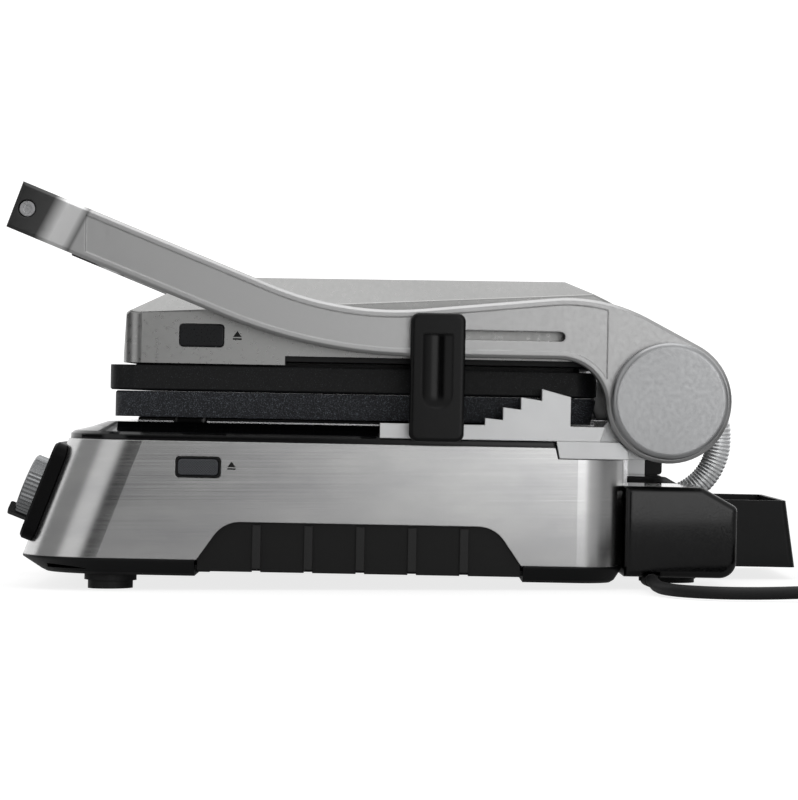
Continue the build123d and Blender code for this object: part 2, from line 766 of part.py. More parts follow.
def make_control_bezel():
    """The black panel on the raked front, with a round seat behind each knob."""
    face = rounded(2 * BEZEL_HALF, BEZEL_TALL, BEZEL_ROUND)
    bezel = on_front(0, 0, -BEZEL_LAP) * extrude(face, BEZEL_THICK + BEZEL_LAP)
    bezel = chamfer(bezel.faces().sort_by(Axis.Y)[0].edges(), BEZEL_BEVEL)
    bezel -= base_form(-FIT, STEEL_Z - PAST, STEEL_TOP + PAST)
    for x in (-KNOB_PITCH, 0, KNOB_PITCH):
        seat = (BEZEL_THICK - SEAT, BEZEL_THICK + KNOB_SEAT_THICK)
        bezel += front_rod(x, -KNOB_DROP, KNOB_R + KNOB_SEAT_LAP, seat)
        bezel -= front_rod(x, -KNOB_DROP, SHAFT_R + PAST, (-PAST, BEZEL_THICK + 2 * PAST))
    for x in (-KNOB_PITCH / 2, KNOB_PITCH / 2):
        bezel -= front_rod(x, LENS_UP, LENS_R + SEAT, (BEZEL_THICK - LENS_SUNK, BEZEL_THICK + PAST))
    return bezel


def make_pilot_lenses():
    """Two small lenses between the knobs."""
    lens = extrude(Circle(LENS_R), LENS_SUNK + LENS_PROUD)
    lens = fillet(lens.faces().sort_by(Axis.Z)[-1].edges(), LENS_ROUND)
    return [on_front(x, LENS_UP, BEZEL_THICK - LENS_SUNK) * lens for x in (-KNOB_PITCH / 2, KNOB_PITCH / 2)]


def make_knob_ring(x):
    """The knurled metal ring of a knob."""
    points = []
    for i in range(2 * KNOB_TEETH):
        turn = math.pi * i / KNOB_TEETH
        radius = KNOB_R - (KNOB_GROOVE if i % 2 else 0.0)
        points.append((radius * math.cos(turn), radius * math.sin(turn)))
    disc = extrude(Circle(KNOB_R + SEAT), KNOB_DEEP)
    disc = chamfer(disc.faces().sort_by(Axis.Z)[-1].edges(), KNOB_BEVEL)
    ring = extrude(outline(*points), KNOB_DEEP) & disc
    ring -= rod_up(0, 0, KNOB_R - KNOB_RING + SEAT, (-PAST, KNOB_DEEP + PAST))
    wide = POINTER_THICK / 2 + SEAT
    ring -= Rot(0, 0, POINTER_TURN) * box((-wide, wide), (-KNOB_R - PAST, 0), (-PAST, KNOB_DEEP + PAST))
    return on_front(x, -KNOB_DROP, KNOB_BASE) * ring


def make_knob_cap(x):
    """A knob's dark front with its pointer fin at the bottom, and the shaft behind it."""
    cap = extrude(Circle(KNOB_R - KNOB_RING), KNOB_DEEP - KNOB_SINK)
    fin = box(
        (-POINTER_THICK / 2, POINTER_THICK / 2),
        (-KNOB_R - POINTER_REACH, -POINTER_START),
        (KNOB_LIFT, KNOB_DEEP + POINTER_PROUD),
    )
    fin = fillet(fin.edges().filter_by(Axis.X).sort_by(Axis.Z)[-2:], POINTER_ROUND)
    cap += Rot(0, 0, POINTER_TURN) * fin
    cap += rod_up(0, 0, SHAFT_R, (-SHAFT_LONG, 0))
    return on_front(x, -KNOB_DROP, KNOB_BASE) * cap


def make_rotary_controls():
    """The rotary controls behind the front, one for each knob."""
    bodies = []
    front = SWITCH_BACK + SWITCH_DEEP
    for x in (-KNOB_PITCH, 0, KNOB_PITCH):
        face = rounded(SWITCH_SIZE, SWITCH_SIZE, SWITCH_ROUND)
        body = on_front(x, -KNOB_DROP, SWITCH_BACK) * extrude(face, SWITCH_DEEP)
        bodies.append(body - front_rod(x, -KNOB_DROP, SHAFT_R + RUN, (front - SHAFT_BORE_END, front + PAST)))
    return bodies


def make_control_board():
    """The circuit board that the rotary controls are soldered to."""
    face = rounded(2 * (KNOB_PITCH + BOARD_LAP), BOARD_TALL, BOARD_ROUND)
    return on_front(0, -KNOB_DROP, SWITCH_BACK - BOARD_THICK) * extrude(face, BOARD_THICK)


def make_height_rail():
    """The light grey rail on the right ledge, with four treads that each hold the lid at a height."""
    points = [(RAIL_FRONT_Y, RAIL_Z), (RAIL_FRONT_Y, RAIL_TOP), (STEP_EDGES[0], RAIL_TOP)]
    for edge, after, (front, back) in zip(STEP_EDGES, STEP_EDGES[1:], STEP_RISES):
        points += [(edge, RAIL_TOP + front), (after, RAIL_TOP + back)]
    points += [(STEP_EDGES[-1], RAIL_TOP), (RAIL_REAR_Y, RAIL_TOP), (RAIL_REAR_Y - RAIL_END_SLOPE, RAIL_Z)]
    return slab(outline(*points), (RAIL_IN, BASE_HALF))


def make_terminal_block():
    """The block where the cord meets the inner wiring."""
    long, wide, tall = BLOCK_SIZE
    x, y = BLOCK_MIDDLE
    top = PAN_Z + PAN_FLOOR + tall
    block = box((x - long / 2, x + long / 2), (y - wide / 2, y + wide / 2), (PAN_Z + PAN_FLOOR, top))
    for i in range(BLOCK_POLES):
        at = x + (i - (BLOCK_POLES - 1) / 2) * BLOCK_PITCH
        block -= rod_up(at, y, BLOCK_HOLE_R, (top - BLOCK_HOLE, top + PAST))
    return block


# Hinge
def make_hinge_bracket():
    """The right-hand cast bracket: flange in the band's notch, web and collar round the hinge tube."""
    flange = outline(
        (BAND_NOTCH_Y + FLANGE_START, FLANGE_Z + FIT),
        (HINGE_Y - FLANGE_END, FLANGE_Z + FIT),
        (HINGE_Y - FLANGE_END, RAIL_Z - SEAT),
        (BAND_NOTCH_Y + FLANGE_START - FLANGE_SLOPE, RAIL_Z - SEAT),
    )
    web = outline(
        (BAND_NOTCH_Y + WEB_START, RAIL_Z - PAST),
        (WEB_KNEE_Y, LOWER_PLATE_Z - WEB_KNEE_DROP),
        (WEB_TOP_Y, HINGE_Z),
        (HINGE_Y, HINGE_Z),
        (HINGE_Y, HINGE_Z - COLLAR_R),
        (HINGE_Y - FLANGE_END, HINGE_Z - COLLAR_R),
    )
    web_x = (BRACKET_OUT - WEB_INSET - WEB_THICK, BRACKET_OUT - WEB_INSET)
    bracket = slab(flange, (BRACKET_IN, BASE_HALF)) + slab(web, web_x)
    bracket += rod(HINGE_Y, HINGE_Z, COLLAR_R, (BRACKET_IN, BRACKET_OUT))
    bracket -= rod(HINGE_Y, HINGE_Z, EYE_R + EYE_ROOM, (BRACKET_OUT, BASE_HALF + PAST))
    bracket -= rod(HINGE_Y, HINGE_Z, COLLAR_R - COLLAR_RIM, (BRACKET_OUT - COLLAR_SUNK, BRACKET_OUT + PAST))
    bracket -= rod(HINGE_Y, HINGE_Z, TUBE_R + SEAT, (BRACKET_IN - PAST, BRACKET_OUT + PAST))
    for y in POST_SCREW_Y:
        bracket -= rod_up(POST_SCREW_X, y, SCREW_R + FIT, (FLANGE_Z - PAST, RAIL_Z + POST_BORE))
    return bracket


def make_hinge_cover():
    """The black sleeve over the hinge tube between the brackets, with a mouth for the hose's nut."""
    end = BRACKET_IN - SEAT
    cover = rod(HINGE_Y, HINGE_Z, HINGE_COVER_R, (-end, end))
    cover -= rod(HINGE_Y, HINGE_Z, TUBE_R + RUN, (-end - PAST, end + PAST))
    return cover - rod_back(HOSE_X, HINGE_Z, GLAND_R + FIT, (HINGE_Y, HINGE_Y + HINGE_COVER_R + PAST))


def make_left_hinge_bracket(right):
    """The left-hand bracket, which also has a leg down to the rear bracket."""
    leg_z = (REAR_TOP, HINGE_Z - TUBE_R - HINGE_LEG_LAP)
    leg = box((-HINGE_LEG_X[1], -HINGE_LEG_X[0]), HINGE_LEG_Y, leg_z)
    return mirror(right, about=Plane.YZ) + leg


def make_hinge_buffer():
    """The black stop block behind the left hinge leg."""
    y = (HINGE_LEG_Y[1], HINGE_LEG_Y[1] + BUFFER_LONG)
    block = box((-HINGE_LEG_X[1], -HINGE_LEG_X[0]), y, (REAR_TOP, REAR_TOP + BUFFER_TALL))
    return fillet(block.edges().filter_by(Axis.X).sort_by(Axis.Y)[-2:], BUFFER_ROUND)


def make_bracket_screws():
    """The screws that hold each hinge bracket down on its post."""
    low = FLANGE_Z - POST_BORE + SCREW_TIP
    screws = []
    for side in (-1, 1):
        for y in POST_SCREW_Y:
            screw = rod_up(side * POST_SCREW_X, y, SCREW_R, (low, RAIL_Z))
            screws.append(screw + rod_up(side * POST_SCREW_X, y, SCREW_HEAD_R, (RAIL_Z, RAIL_Z + SCREW_HEAD)))
    return screws


def make_hinge_tube():
    """The fixed hollow tube that carries both arms and the wires to the lid."""
    x = (-ARM_OUT, ARM_OUT)
    tube_part = rod(HINGE_Y, HINGE_Z, TUBE_R, x) - rod(HINGE_Y, HINGE_Z, TUBE_BORE_R, x)
    return tube_part - rod_back(HOSE_X, HINGE_Z, HOSE_BORE_R, (HINGE_Y, HINGE_Y + TUBE_R + PAST))


def make_hinge_bolts():
    """One bolt and washer in each end of the tube, which keep the arms on it."""
    washer = ARM_OUT + FIT
    head = washer + BOLT_WASHER
    bolt = rod(HINGE_Y, HINGE_Z, TUBE_BORE_R - SEAT, (ARM_OUT - BOLT_LONG, washer))
    bolt += rod(HINGE_Y, HINGE_Z, BOLT_WASHER_R, (washer, head))
    hexagon = Pos(HINGE_Y, HINGE_Z) * RegularPolygon(BOLT_HEX_R, 6)
    return both_sides(bolt + slab(hexagon, (head, head + BOLT_HEX)))


def make_hinge_sleeves():
    """The flanged sleeves that the arms' eyes turn on."""
    sleeve = rod(HINGE_Y, HINGE_Z, TUBE_R + RUN + SLEEVE_WALL, (BRACKET_OUT + FIT, ARM_OUT))
    sleeve += rod(HINGE_Y, HINGE_Z, SLEEVE_FLANGE_R, (BRACKET_OUT + FIT, ARM_IN - FIT))
    return both_sides(sleeve - rod(HINGE_Y, HINGE_Z, TUBE_R + RUN, (BRACKET_OUT, ARM_OUT + PAST)))


# Arms
def toward(start, end, inset):
    """A straight run moved to its right by an inset, as a place and a direction."""
    long = math.dist(start, end)
    way = ((end[0] - start[0]) / long, (end[1] - start[1]) / long)
    return (start[0] + way[1] * inset, start[1] - way[0] * inset), way


def meet(first, second):
    """Where two straight runs cross."""
    (ax, ay), (ux, uy) = first
    (bx, by), (vx, vy) = second
    along = ((bx - ax) * vy - (by - ay) * vx) / (ux * vy - uy * vx)
    return ax + along * ux, ay + along * uy


def around(middle, radius, turn):
    """A place on a circle."""
    return middle[0] + radius * math.cos(turn), middle[1] + radius * math.sin(turn)


def arm_face(inset):
    """The arm from the side, or the same set in: eye, level stretch and raised end for the handle."""
    crest = (-ARM_CREST[0], ARM_CREST[1])
    top_bend = (-ARM_TOP_BEND[0], ARM_TOP_BEND[1])
    bend = (-ARM_BEND, ARM_UNDER)
    low_end = (-ARM_REACH, ARM_UNDER + ARM_RISE)
    lean = math.radians(ARM_END_LEAN)
    high_end = (low_end[0] + ARM_END_TALL * math.sin(lean), low_end[1] + ARM_END_TALL * math.cos(lean))
    eye_turn = math.atan2(crest[1], crest[0]) - math.acos(EYE_R / math.hypot(*crest))
    pit_z = ARM_UNDER - ARM_ARMPIT
    pit = (-math.sqrt((EYE_R + ARM_ARMPIT) ** 2 - pit_z**2), pit_z)
    pit_turn = math.atan2(-pit[1], -pit[0])
    corners = [around((0, 0), EYE_R, eye_turn), crest, top_bend, high_end, low_end, bend, (pit[0], ARM_UNDER)]
    runs = [toward(b, a, inset) for a, b in zip(corners, corners[1:])]
    crest, top_bend, high_end, low_end, bend = (meet(a, b) for a, b in zip(runs, runs[1:]))
    eye_r = EYE_R - inset
    pit_r = ARM_ARMPIT + inset
    eye_top = around((0, 0), eye_r, eye_turn)
    under = (pit[0], ARM_UNDER + inset)
    eye_front = around(pit, pit_r, pit_turn)
    under_way = around(pit, pit_r, (math.pi / 2 + pit_turn) / 2)
    eye_way = around((0, 0), eye_r, (eye_turn - math.pi + pit_turn) / 2)
    face = make_face(
        [
            *Polyline(eye_top, crest, top_bend, high_end, low_end, bend, under).edges(),
            ThreePointArc(under, under_way, eye_front),
            ThreePointArc(eye_front, eye_way, eye_top),
        ]
    )
    rounds = (
        (bend, ARM_UNDER_ROUND - inset),
        (crest, ARM_CREST_ROUND - inset),
        (top_bend, ARM_TOP_ROUND + inset),
    )
    for place, radius in rounds:
        corner = min(face.vertices(), key=lambda v: math.dist((v.X, v.Y), place))
        face = fillet(corner, radius)
    return Pos(HINGE_Y, HINGE_Z) * face


def handle_middle():
    """The centre of the handle bar, as (Y, Z)."""
    lean = math.radians(ARM_END_LEAN)
    along = (math.sin(lean), math.cos(lean))
    y = HINGE_Y - ARM_REACH + ARM_END_TALL / 2 * along[0] + HANDLE_BEHIND * along[1]
    z = HINGE_Z + ARM_UNDER + ARM_RISE + ARM_END_TALL / 2 * along[1] - HANDLE_BEHIND * along[0]
    return y, z


def make_arm(slotted):
    """The right-hand cast arm. Only the arm with the slider has a slot and a pocket behind it."""
    arm = slab(arm_face(0), (ARM_IN, ARM_OUT))
    arm = chamfer(arm.faces().sort_by(Axis.X)[-1].edges(), ARM_BEVEL)
    ends = (HINGE_Y - PANEL_START, HINGE_Y - EYE_R)
    panel = slab(arm_face(PANEL_INSET), (ARM_OUT - PANEL_DEEP, ARM_OUT + PAST))
    panel &= box((ARM_IN, ARM_OUT + 2 * PAST), ends, (0, HINGE_Z + ARM_REACH))
    arm -= panel - rod(HINGE_Y, HINGE_Z, EYE_R, (ARM_IN, ARM_OUT + 2 * PAST))
    through = (ARM_IN - PAST, ARM_OUT + PAST)
    arm -= rod(HINGE_Y, HINGE_Z, TUBE_R + 2 * RUN + SLEEVE_WALL, through)
    arm -= rod(PIVOT_Y, PIVOT_Z, PIVOT_R, (ARM_IN - PAST, ARM_IN + PIVOT_BURIED))
    y, z = handle_middle()
    head_low = ARM_OUT - SCREW_HEAD - HANDLE_SCREW_SUNK - HANDLE_SCREW_BED
    arm -= rod(y, z, SCREW_R + SEAT, through)
    arm -= rod(y, z, SCREW_HEAD_R + HANDLE_SCREW_ROOM, (head_low, ARM_OUT + PAST))
    if slotted:
        middle = Pos((SLOT_Y[0] + SLOT_Y[1]) / 2, SLOT_Z)
        long = SLOT_Y[1] - SLOT_Y[0]
        arm -= slab(middle * SlotOverall(long, SLOT_TALL), through)
        pocket = middle * rounded(long + 2 * POCKET_LAP, POCKET_TALL, POCKET_ROUND)
        arm -= slab(pocket, (ARM_IN - PAST, ARM_IN + POCKET_DEEP))
    return arm


def make_drum_caps():
    """The round caps over the arms' eyes, hollow behind for the bolt heads."""
    cap = rod(HINGE_Y, HINGE_Z, CAP_R, (ARM_OUT, CAP_OUT))
    cap = fillet(cap.faces().sort_by(Axis.X)[-1].edges(), CAP_ROUND)
    return both_sides(cap - rod(HINGE_Y, HINGE_Z, CAP_HOLLOW_R, (ARM_OUT - PAST, CAP_OUT - CAP_WALL)))


def make_handle_bar():
    """The bar across the front ends of both arms."""
    y, z = handle_middle()
    section = Pos(y, z) * Rot(0, 0, -ARM_END_LEAN) * rounded(HANDLE_DEEP, HANDLE_TALL, HANDLE_ROUND)
    bar = slab(section, (-ARM_IN, ARM_IN))
    for part in both_sides(rod(y, z, SCREW_R + SEAT, (ARM_IN - HANDLE_SCREW_DEEP, ARM_IN + PAST))):
        bar -= part
    return bar


def make_handle_screws():
    """One socket screw at each end of the handle."""
    y, z = handle_middle()
    top = ARM_OUT - HANDLE_SCREW_SUNK
    screw = rod(y, z, SCREW_R, (ARM_IN - HANDLE_SCREW_DEEP + PAST, top - SCREW_HEAD))
    screw += rod(y, z, SCREW_HEAD_R, (top - SCREW_HEAD, top))
    socket = Pos(y, z) * RegularPolygon(SOCKET_R, 6)
    return both_sides(screw - slab(socket, (top - SOCKET_DEEP, top + PAST)))


def make_pivot_pins():
    """The pins in the arms' inner faces that the lid floats on."""
    x = (LID_HALF - BUSH_LONG + PAST, ARM_IN + PIVOT_BURIED - FIT)
    return both_sides(rod(PIVOT_Y, PIVOT_Z, PIVOT_R - SEAT, x))


def make_pivot_bushes():
    """The bushes in the lid's sides that those pins turn in."""
    bush = rod(PIVOT_Y, PIVOT_Z, BUSH_R - SEAT, (LID_HALF - BUSH_LONG, LID_HALF))
    through = (LID_HALF - BUSH_LONG - PAST, LID_HALF + PAST)
    return both_sides(bush - rod(PIVOT_Y, PIVOT_Z, PIVOT_R + RUN, through))


# Height slider
def make_height_slider():
    """The black slider: an outer plate with a finger groove and a foot that lands on the rail."""
    middle = SLIDER_FRONT_Y + SLIDER_LONG / 2
    x = (ARM_OUT + FIT, ARM_OUT + FIT + SLIDER_THICK)
    face = Pos(middle, SLIDER_TOP - SLIDER_TALL / 2) * rounded(SLIDER_LONG, SLIDER_TALL, SLIDER_ROUND)
    plate = slab(face, x)
    plate = fillet(plate.faces().sort_by(Axis.X)[-1].edges(), SLIDER_EDGE)
    low = SLIDER_TOP - SLIDER_TALL + GROOVE_LOW
    dip = x[1] + GROOVE_OFF
    plate -= rod_up(dip, middle, GROOVE_R, (low, SLIDER_TOP - GROOVE_TOP))
    plate -= Pos(dip, middle, low) * Sphere(GROOVE_R)
    return plate + box((RAIL_IN + FOOT_IN, x[0]), FOOT_Y, (RAIL_TOP + FIT, HINGE_Z + ARM_UNDER - FIT))


def make_slider_guide():
    """The metal tongue that runs in the arm's slot, with a flange behind the arm."""
    middle = (GUIDE_Y[0] + GUIDE_Y[1]) / 2
    end_on = Pos(middle, SLOT_Z) * SlotOverall(GUIDE_Y[1] - GUIDE_Y[0], SLOT_TALL - 2 * RUN)
    tongue = slab(end_on, (ARM_IN + FIT, ARM_OUT + FIT))
    y = (GUIDE_Y[0] - GUIDE_FLANGE_LAP, GUIDE_Y[1] + GUIDE_FLANGE_LAP)
    z = (SLOT_Z - GUIDE_FLANGE_TALL / 2, SLOT_Z + GUIDE_FLANGE_TALL / 2)
    return tongue + box((ARM_IN + FIT, ARM_IN + FIT + GUIDE_FLANGE), y, z)


# Lid
def below(shape, point, normal, inset):
    """What lies under a sloping plane, which is sunk by a wall."""
    long = math.sqrt(sum(n * n for n in normal))
    unit = [n / long for n in normal]
    origin = tuple(p - inset * u for p, u in zip(point, unit))
    return split(shape, bisect_by=Plane(origin=origin, z_dir=tuple(unit)), keep=Keep.BOTTOM)


def lid_form(inset, low):
    """The lid's faceted outside, or the space inside it when set in by its wall."""
    half = LID_HALF - inset
    front = LID_FRONT_Y + inset
    rear = LID_REAR_Y - inset
    face = outline((-half, front), (half, front), (half, rear), (-half, rear))
    face = fillet(face.vertices().sort_by(Axis.Y)[:2], LID_FRONT_CORNER - inset)
    face = fillet(face.vertices().sort_by(Axis.Y)[-2:], LID_REAR_CORNER - inset)
    form = extrude(Pos(0, 0, low) * face, LID_TOP - inset - low)
    shoulder = LID_Z + LID_FRONT_TOP
    form = below(form, (0, LID_FRONT_Y, LID_Z), (0, -LID_FRONT_TOP, LID_DRAFT), inset)
    slope = (0, shoulder - LID_TOP, LID_FLAT_FRONT - LID_DRAFT)
    form = below(form, (0, LID_FRONT_Y + LID_DRAFT, shoulder), slope, inset)
    for side in (-1, 1):
        edge = (side * LID_HALF, LID_FRONT_Y + LID_DRAFT, shoulder)
        form = below(form, edge, (side * LID_SIDE_PITCH, -LID_SIDE_RISE, 1), inset)
    return below(form, (0, LID_REAR_Y, LID_TOP - LID_REAR_DROP), (0, LID_REAR_DROP, LID_REAR_FLAT), inset)


def make_lid_housing():
    """The satin metal cover of the lid."""
    outer = lid_form(0, LID_Z)
    top_edges = [e for e in outer.edges() if min(v.Z for v in e.vertices()) > LID_Z + LID_EDGE_ABOVE]
    housing = fillet(top_edges, LID_EDGE_ROUND) - lid_form(LID_WALL, LID_Z - PAST)
    across = (-LID_HALF - PAST, LID_HALF + PAST)
    housing -= box(across, (LID_STEP_Y, LID_REAR_Y + PAST), (LID_Z - PAST, LID_Z + LID_STEP))
    hole = button_face(LID_BUTTON_LONG + 2 * FIT, LID_BUTTON_TALL + 2 * FIT, LID_BUTTON_Z)
    housing -= slab(hole, (LID_HALF - WALL_CUT, LID_HALF + PAST))
    for part in both_sides(rod(PIVOT_Y, PIVOT_Z, BUSH_R, (LID_HALF - WALL_CUT, LID_HALF + PAST))):
        housing -= part
    return housing


def make_lid_skirt():
    """The black inner frame of the lid, which shows under the housing's raised rear edge."""
    inset = LID_WALL + FIT
    low = LID_Z + SKIRT_LIFT
    high = low + SKIRT_TALL
    skirt = lid_form(inset, low) & box((-LID_HALF, LID_HALF), (LID_FRONT_Y, LID_REAR_Y), (low, high))
    half = LID_HALF - inset - SKIRT_WALL
    core_y = (LID_FRONT_Y + LID_FRONT_CORNER, LID_REAR_Y - inset - SKIRT_WALL)
    skirt -= box((-half, half), core_y, (low + SKIRT_WALL, high + PAST))
    well = (-UPPER_WELL_HALF, UPPER_WELL_HALF)
    skirt -= box(well, (UPPER_WELL_FRONT, UPPER_WELL_REAR), (low - PAST, high + PAST))
    stop_y = (BUTTON_Y - STOP_HALF, BUTTON_Y + STOP_HALF)
    stop_z = (low + SKIRT_WALL - SEAT, LID_BUTTON_Z + LATCH_TALL / 2)
    return skirt + box((LID_STOP_X - STOP_THICK, LID_STOP_X), stop_y, stop_z)


# Cooking plates
def cooking_face(low, high_z, upward):
    """The space between a plate's ribs, as one comb that runs from front to rear."""
    count = int(2 * (PLATE_HALF - PLATE_RIM) // RIB_PITCH)
    left = -count * RIB_PITCH / 2
    sign = 1 if upward else -1
    over = high_z + sign * PAST
    floor = high_z - sign * PLATE_WELL
    top = floor + sign * RIB_TALL
    points = [(left, over)]
    for i in range(count):
        x = left + i * RIB_PITCH
        rib = x + RIB_PITCH - RIB_WIDE
        points += [(x, floor), (rib, floor), (rib + RIB_DRAFT, top), (x + RIB_PITCH - RIB_DRAFT, top)]
    points += [(-left, floor), (-left, over)]
    return extrude(Plane.XZ.offset(-low[1]) * outline(*points), low[1] - low[0])


def plate_form(low, high, low_in, high_in, low_front, high_front):
    """A plate's body between two heights, with drafted sides."""
    faces = []
    for z, inset, front in ((low, low_in, low_front), (high, high_in, high_front)):
        half = PLATE_HALF - inset
        y = (front + inset, PLATE_REAR_Y - inset)
        face = outline((-half, y[0]), (half, y[0]), (half, y[1]), (-half, y[1]))
        faces.append(Pos(0, 0, z) * fillet(face.vertices(), PLATE_CORNER - inset))
    return loft(faces, ruled=True)


def make_lower_plate():
    """The removable lower plate, ribbed from front to rear, with a fat outlet at the rear."""
    front = PLATE_FRONT_Y
    plate = plate_form(LOWER_PLATE_Z, CONTACT_Z, PLATE_DRAFT, 0.0, front - PLATE_DRAFT, front)
    plate = chamfer(plate.faces().sort_by(Axis.Z)[-1].outer_wire().edges(), PLATE_EDGE)
    rib_y = (PLATE_FRONT_Y + PLATE_RIM, PLATE_REAR_Y - PLATE_RIM)
    plate -= cooking_face(rib_y, CONTACT_Z, True)
    outlet = (-OUTLET_HALF, OUTLET_HALF)
    plate -= box(outlet, (rib_y[1] - PAST, PLATE_REAR_Y + PAST), (CONTACT_Z - PLATE_WELL, CONTACT_Z + PAST))
    lip_z = (LOWER_PLATE_Z + OUTLET_LIP_LOW, LOWER_PLATE_Z + OUTLET_LIP_HIGH)
    return plate + box(outlet, (PLATE_REAR_Y - OUTLET_LAP, PLATE_REAR_Y + OUTLET_LIP), lip_z)


def make_upper_plate():
    """The removable upper plate, which faces down, with a smaller raised back inside the lid."""
    front = PLATE_FRONT_Y - UPPER_PLATE_PROUD
    plate = plate_form(UPPER_PLATE_Z, UPPER_PLATE_TOP, 0.0, 0.0, front, front)
    plate = chamfer(plate.faces().sort_by(Axis.Z)[0].outer_wire().edges(), PLATE_EDGE)
    boss_front = front + BOSS_FRONT_IN
    high = UPPER_PLATE_TOP + BOSS_RISE
    plate += plate_form(UPPER_PLATE_TOP - PAST, high, BOSS_INSET, BOSS_INSET, boss_front, boss_front)
    rib_y = (PLATE_FRONT_Y + PLATE_RIM, PLATE_REAR_Y - PLATE_RIM)
    return plate - cooking_face(rib_y, UPPER_PLATE_Z, False)


# Heaters
def make_element(half, front, rear, z):
    """A sheathed heating rod: two loops with both ends out at the rear."""
    inner = half * ELEMENT_SHARE
    middle = half * ELEMENT_MIDDLE
    outer = half - ELEMENT_EDGE
    points = [
        (-inner, rear + ELEMENT_LEAD, z),
        (-inner, front + ELEMENT_FRONT_LOOP, z),
        (-middle, front + ELEMENT_FRONT_LOOP, z),
        (-middle, rear - ELEMENT_REAR_LOOP, z),
        (-outer, rear - ELEMENT_REAR_LOOP, z),
        (-outer, front + ELEMENT_EDGE, z),
    ]
    points += [(-x, y, z) for x, y, z in reversed(points)]
    bend = min(ELEMENT_BEND, 2 * inner * ELEMENT_BEND_SHARE)
    return tube(FilletPolyline(*points, radius=bend), ELEMENT_R)


def make_reflector(half, front, rear, lip_z, up):
    """A bright pan that backs a heating rod, with a lip round its mouth and holes for the rod's ends."""
    sign = 1 if up else -1
    far = lip_z + sign * REFLECTOR_DEEP
    low, high = min(lip_z, far), max(lip_z, far)
    inside_x = (-half + SHEET, half - SHEET)
    inside_y = (front + SHEET, rear - SHEET)
    pan = box((-half, half), (front, rear), (low, high))
    pan -= box(inside_x, inside_y, (low - PAST, high - SHEET) if up else (low + SHEET, high + PAST))
    lip_x = (-half - REFLECTOR_LIP, half + REFLECTOR_LIP)
    lip = box(lip_x, (front - REFLECTOR_LIP, rear + REFLECTOR_LIP), (lip_z, lip_z + SHEET))
    pan += lip - box(inside_x, inside_y, (low - PAST, high + PAST))
    rod_z = lip_z + sign * ELEMENT_SUNK
    for x in (-half * ELEMENT_SHARE, half * ELEMENT_SHARE):
        pan -= rod_back(x, rod_z, ELEMENT_R + FIT, (rear - WALL_CUT, rear + WALL_CUT))
    return pan


# Release buttons
def make_button(long, tall, z, wall):
    """A release button that stands a little proud of a side wall, with the plunger behind it."""
    out = wall + BUTTON_PROUD
    back = out - BUTTON_DEEP
    body = slab(button_face(long, tall, z, BUTTON_ROUND), (back, out))
    body = fillet(body.faces().sort_by(Axis.X)[-1].edges(), BUTTON_EDGE)
    return body + slab(button_face(LATCH_WIDE, LATCH_TALL, z, LATCH_ROUND), (back - LATCH_LONG, back))


def make_spring(low_x, z):
    """The return spring behind a plunger, as the sleeve that its wire fills."""
    x = (low_x + SEAT, low_x + SPRING_LONG - SEAT)
    return rod(BUTTON_Y, z, SPRING_R, x) - rod(BUTTON_Y, z, SPRING_R - SPRING_WIRE, x)


def make_button_surround():
    """The black ring round the lower release button."""
    wide = BUTTON_LONG + 2 * SURROUND - 2 * SEAT
    tall = BUTTON_TALL + 2 * SURROUND - 2 * SEAT
    x = (BASE_HALF - SURROUND_DEEP, BASE_HALF + SURROUND_PROUD)
    hole = slab(button_face(BUTTON_LONG, BUTTON_TALL, BASE_BUTTON_Z), (x[0] - PAST, x[1] + PAST))
    return slab(button_face(wide, tall, BASE_BUTTON_Z), x) - hole


# Hose
def make_conduit_glands():
    """The nuts that hold the hose at the base's rear wall and at the hinge tube."""
    low = Pos(HOSE_X, REAR_Y, HOSE_LOW_Z) * Rot(-90, 0, 0) * extrude(RegularPolygon(GLAND_R, 6), GLAND_LONG)
    low -= rod_back(HOSE_X, HOSE_LOW_Z, HOSE_BORE_R, (REAR_Y - PAST, REAR_Y + GLAND_LONG + PAST))
    tube_back = HINGE_Y + TUBE_R
    high_end = tube_back + GLAND_HIGH_LONG
    high = rod_back(HOSE_X, HINGE_Z, GLAND_R, (tube_back - GLAND_SADDLE, high_end))
    high -= rod(HINGE_Y, HINGE_Z, TUBE_R + SEAT, (HOSE_X - 2 * GLAND_R, HOSE_X + 2 * GLAND_R))
    high -= rod_back(HOSE_X, HINGE_Z, HOSE_BORE_R, (HINGE_Y, high_end + PAST))
    return [low, high]


def hose_legs():
    """The hose's centre line, from the base's rear wall, back, up and forward to the hinge tube."""
    bend_y = REAR_Y + HOSE_REACH
    rear = bend_y + HOSE_LOW_BEND
    low_end = HOSE_LOW_Z + HOSE_LOW_BEND
    high_start = HINGE_Z - HOSE_HIGH_BEND
    high_y = rear - HOSE_HIGH_BEND
    return [
        ("line", (REAR_Y + GLAND_LONG, HOSE_LOW_Z), (bend_y, HOSE_LOW_Z)),
        ("arc", (bend_y, low_end), (HOSE_LOW_BEND, -math.pi / 2)),
        ("line", (rear, low_end), (rear, high_start)),
        ("arc", (high_y, high_start), (HOSE_HIGH_BEND, 0.0)),
        ("line", (high_y, HINGE_Z), (HINGE_Y + TUBE_R + GLAND_HIGH_LONG, HINGE_Z)),
    ]


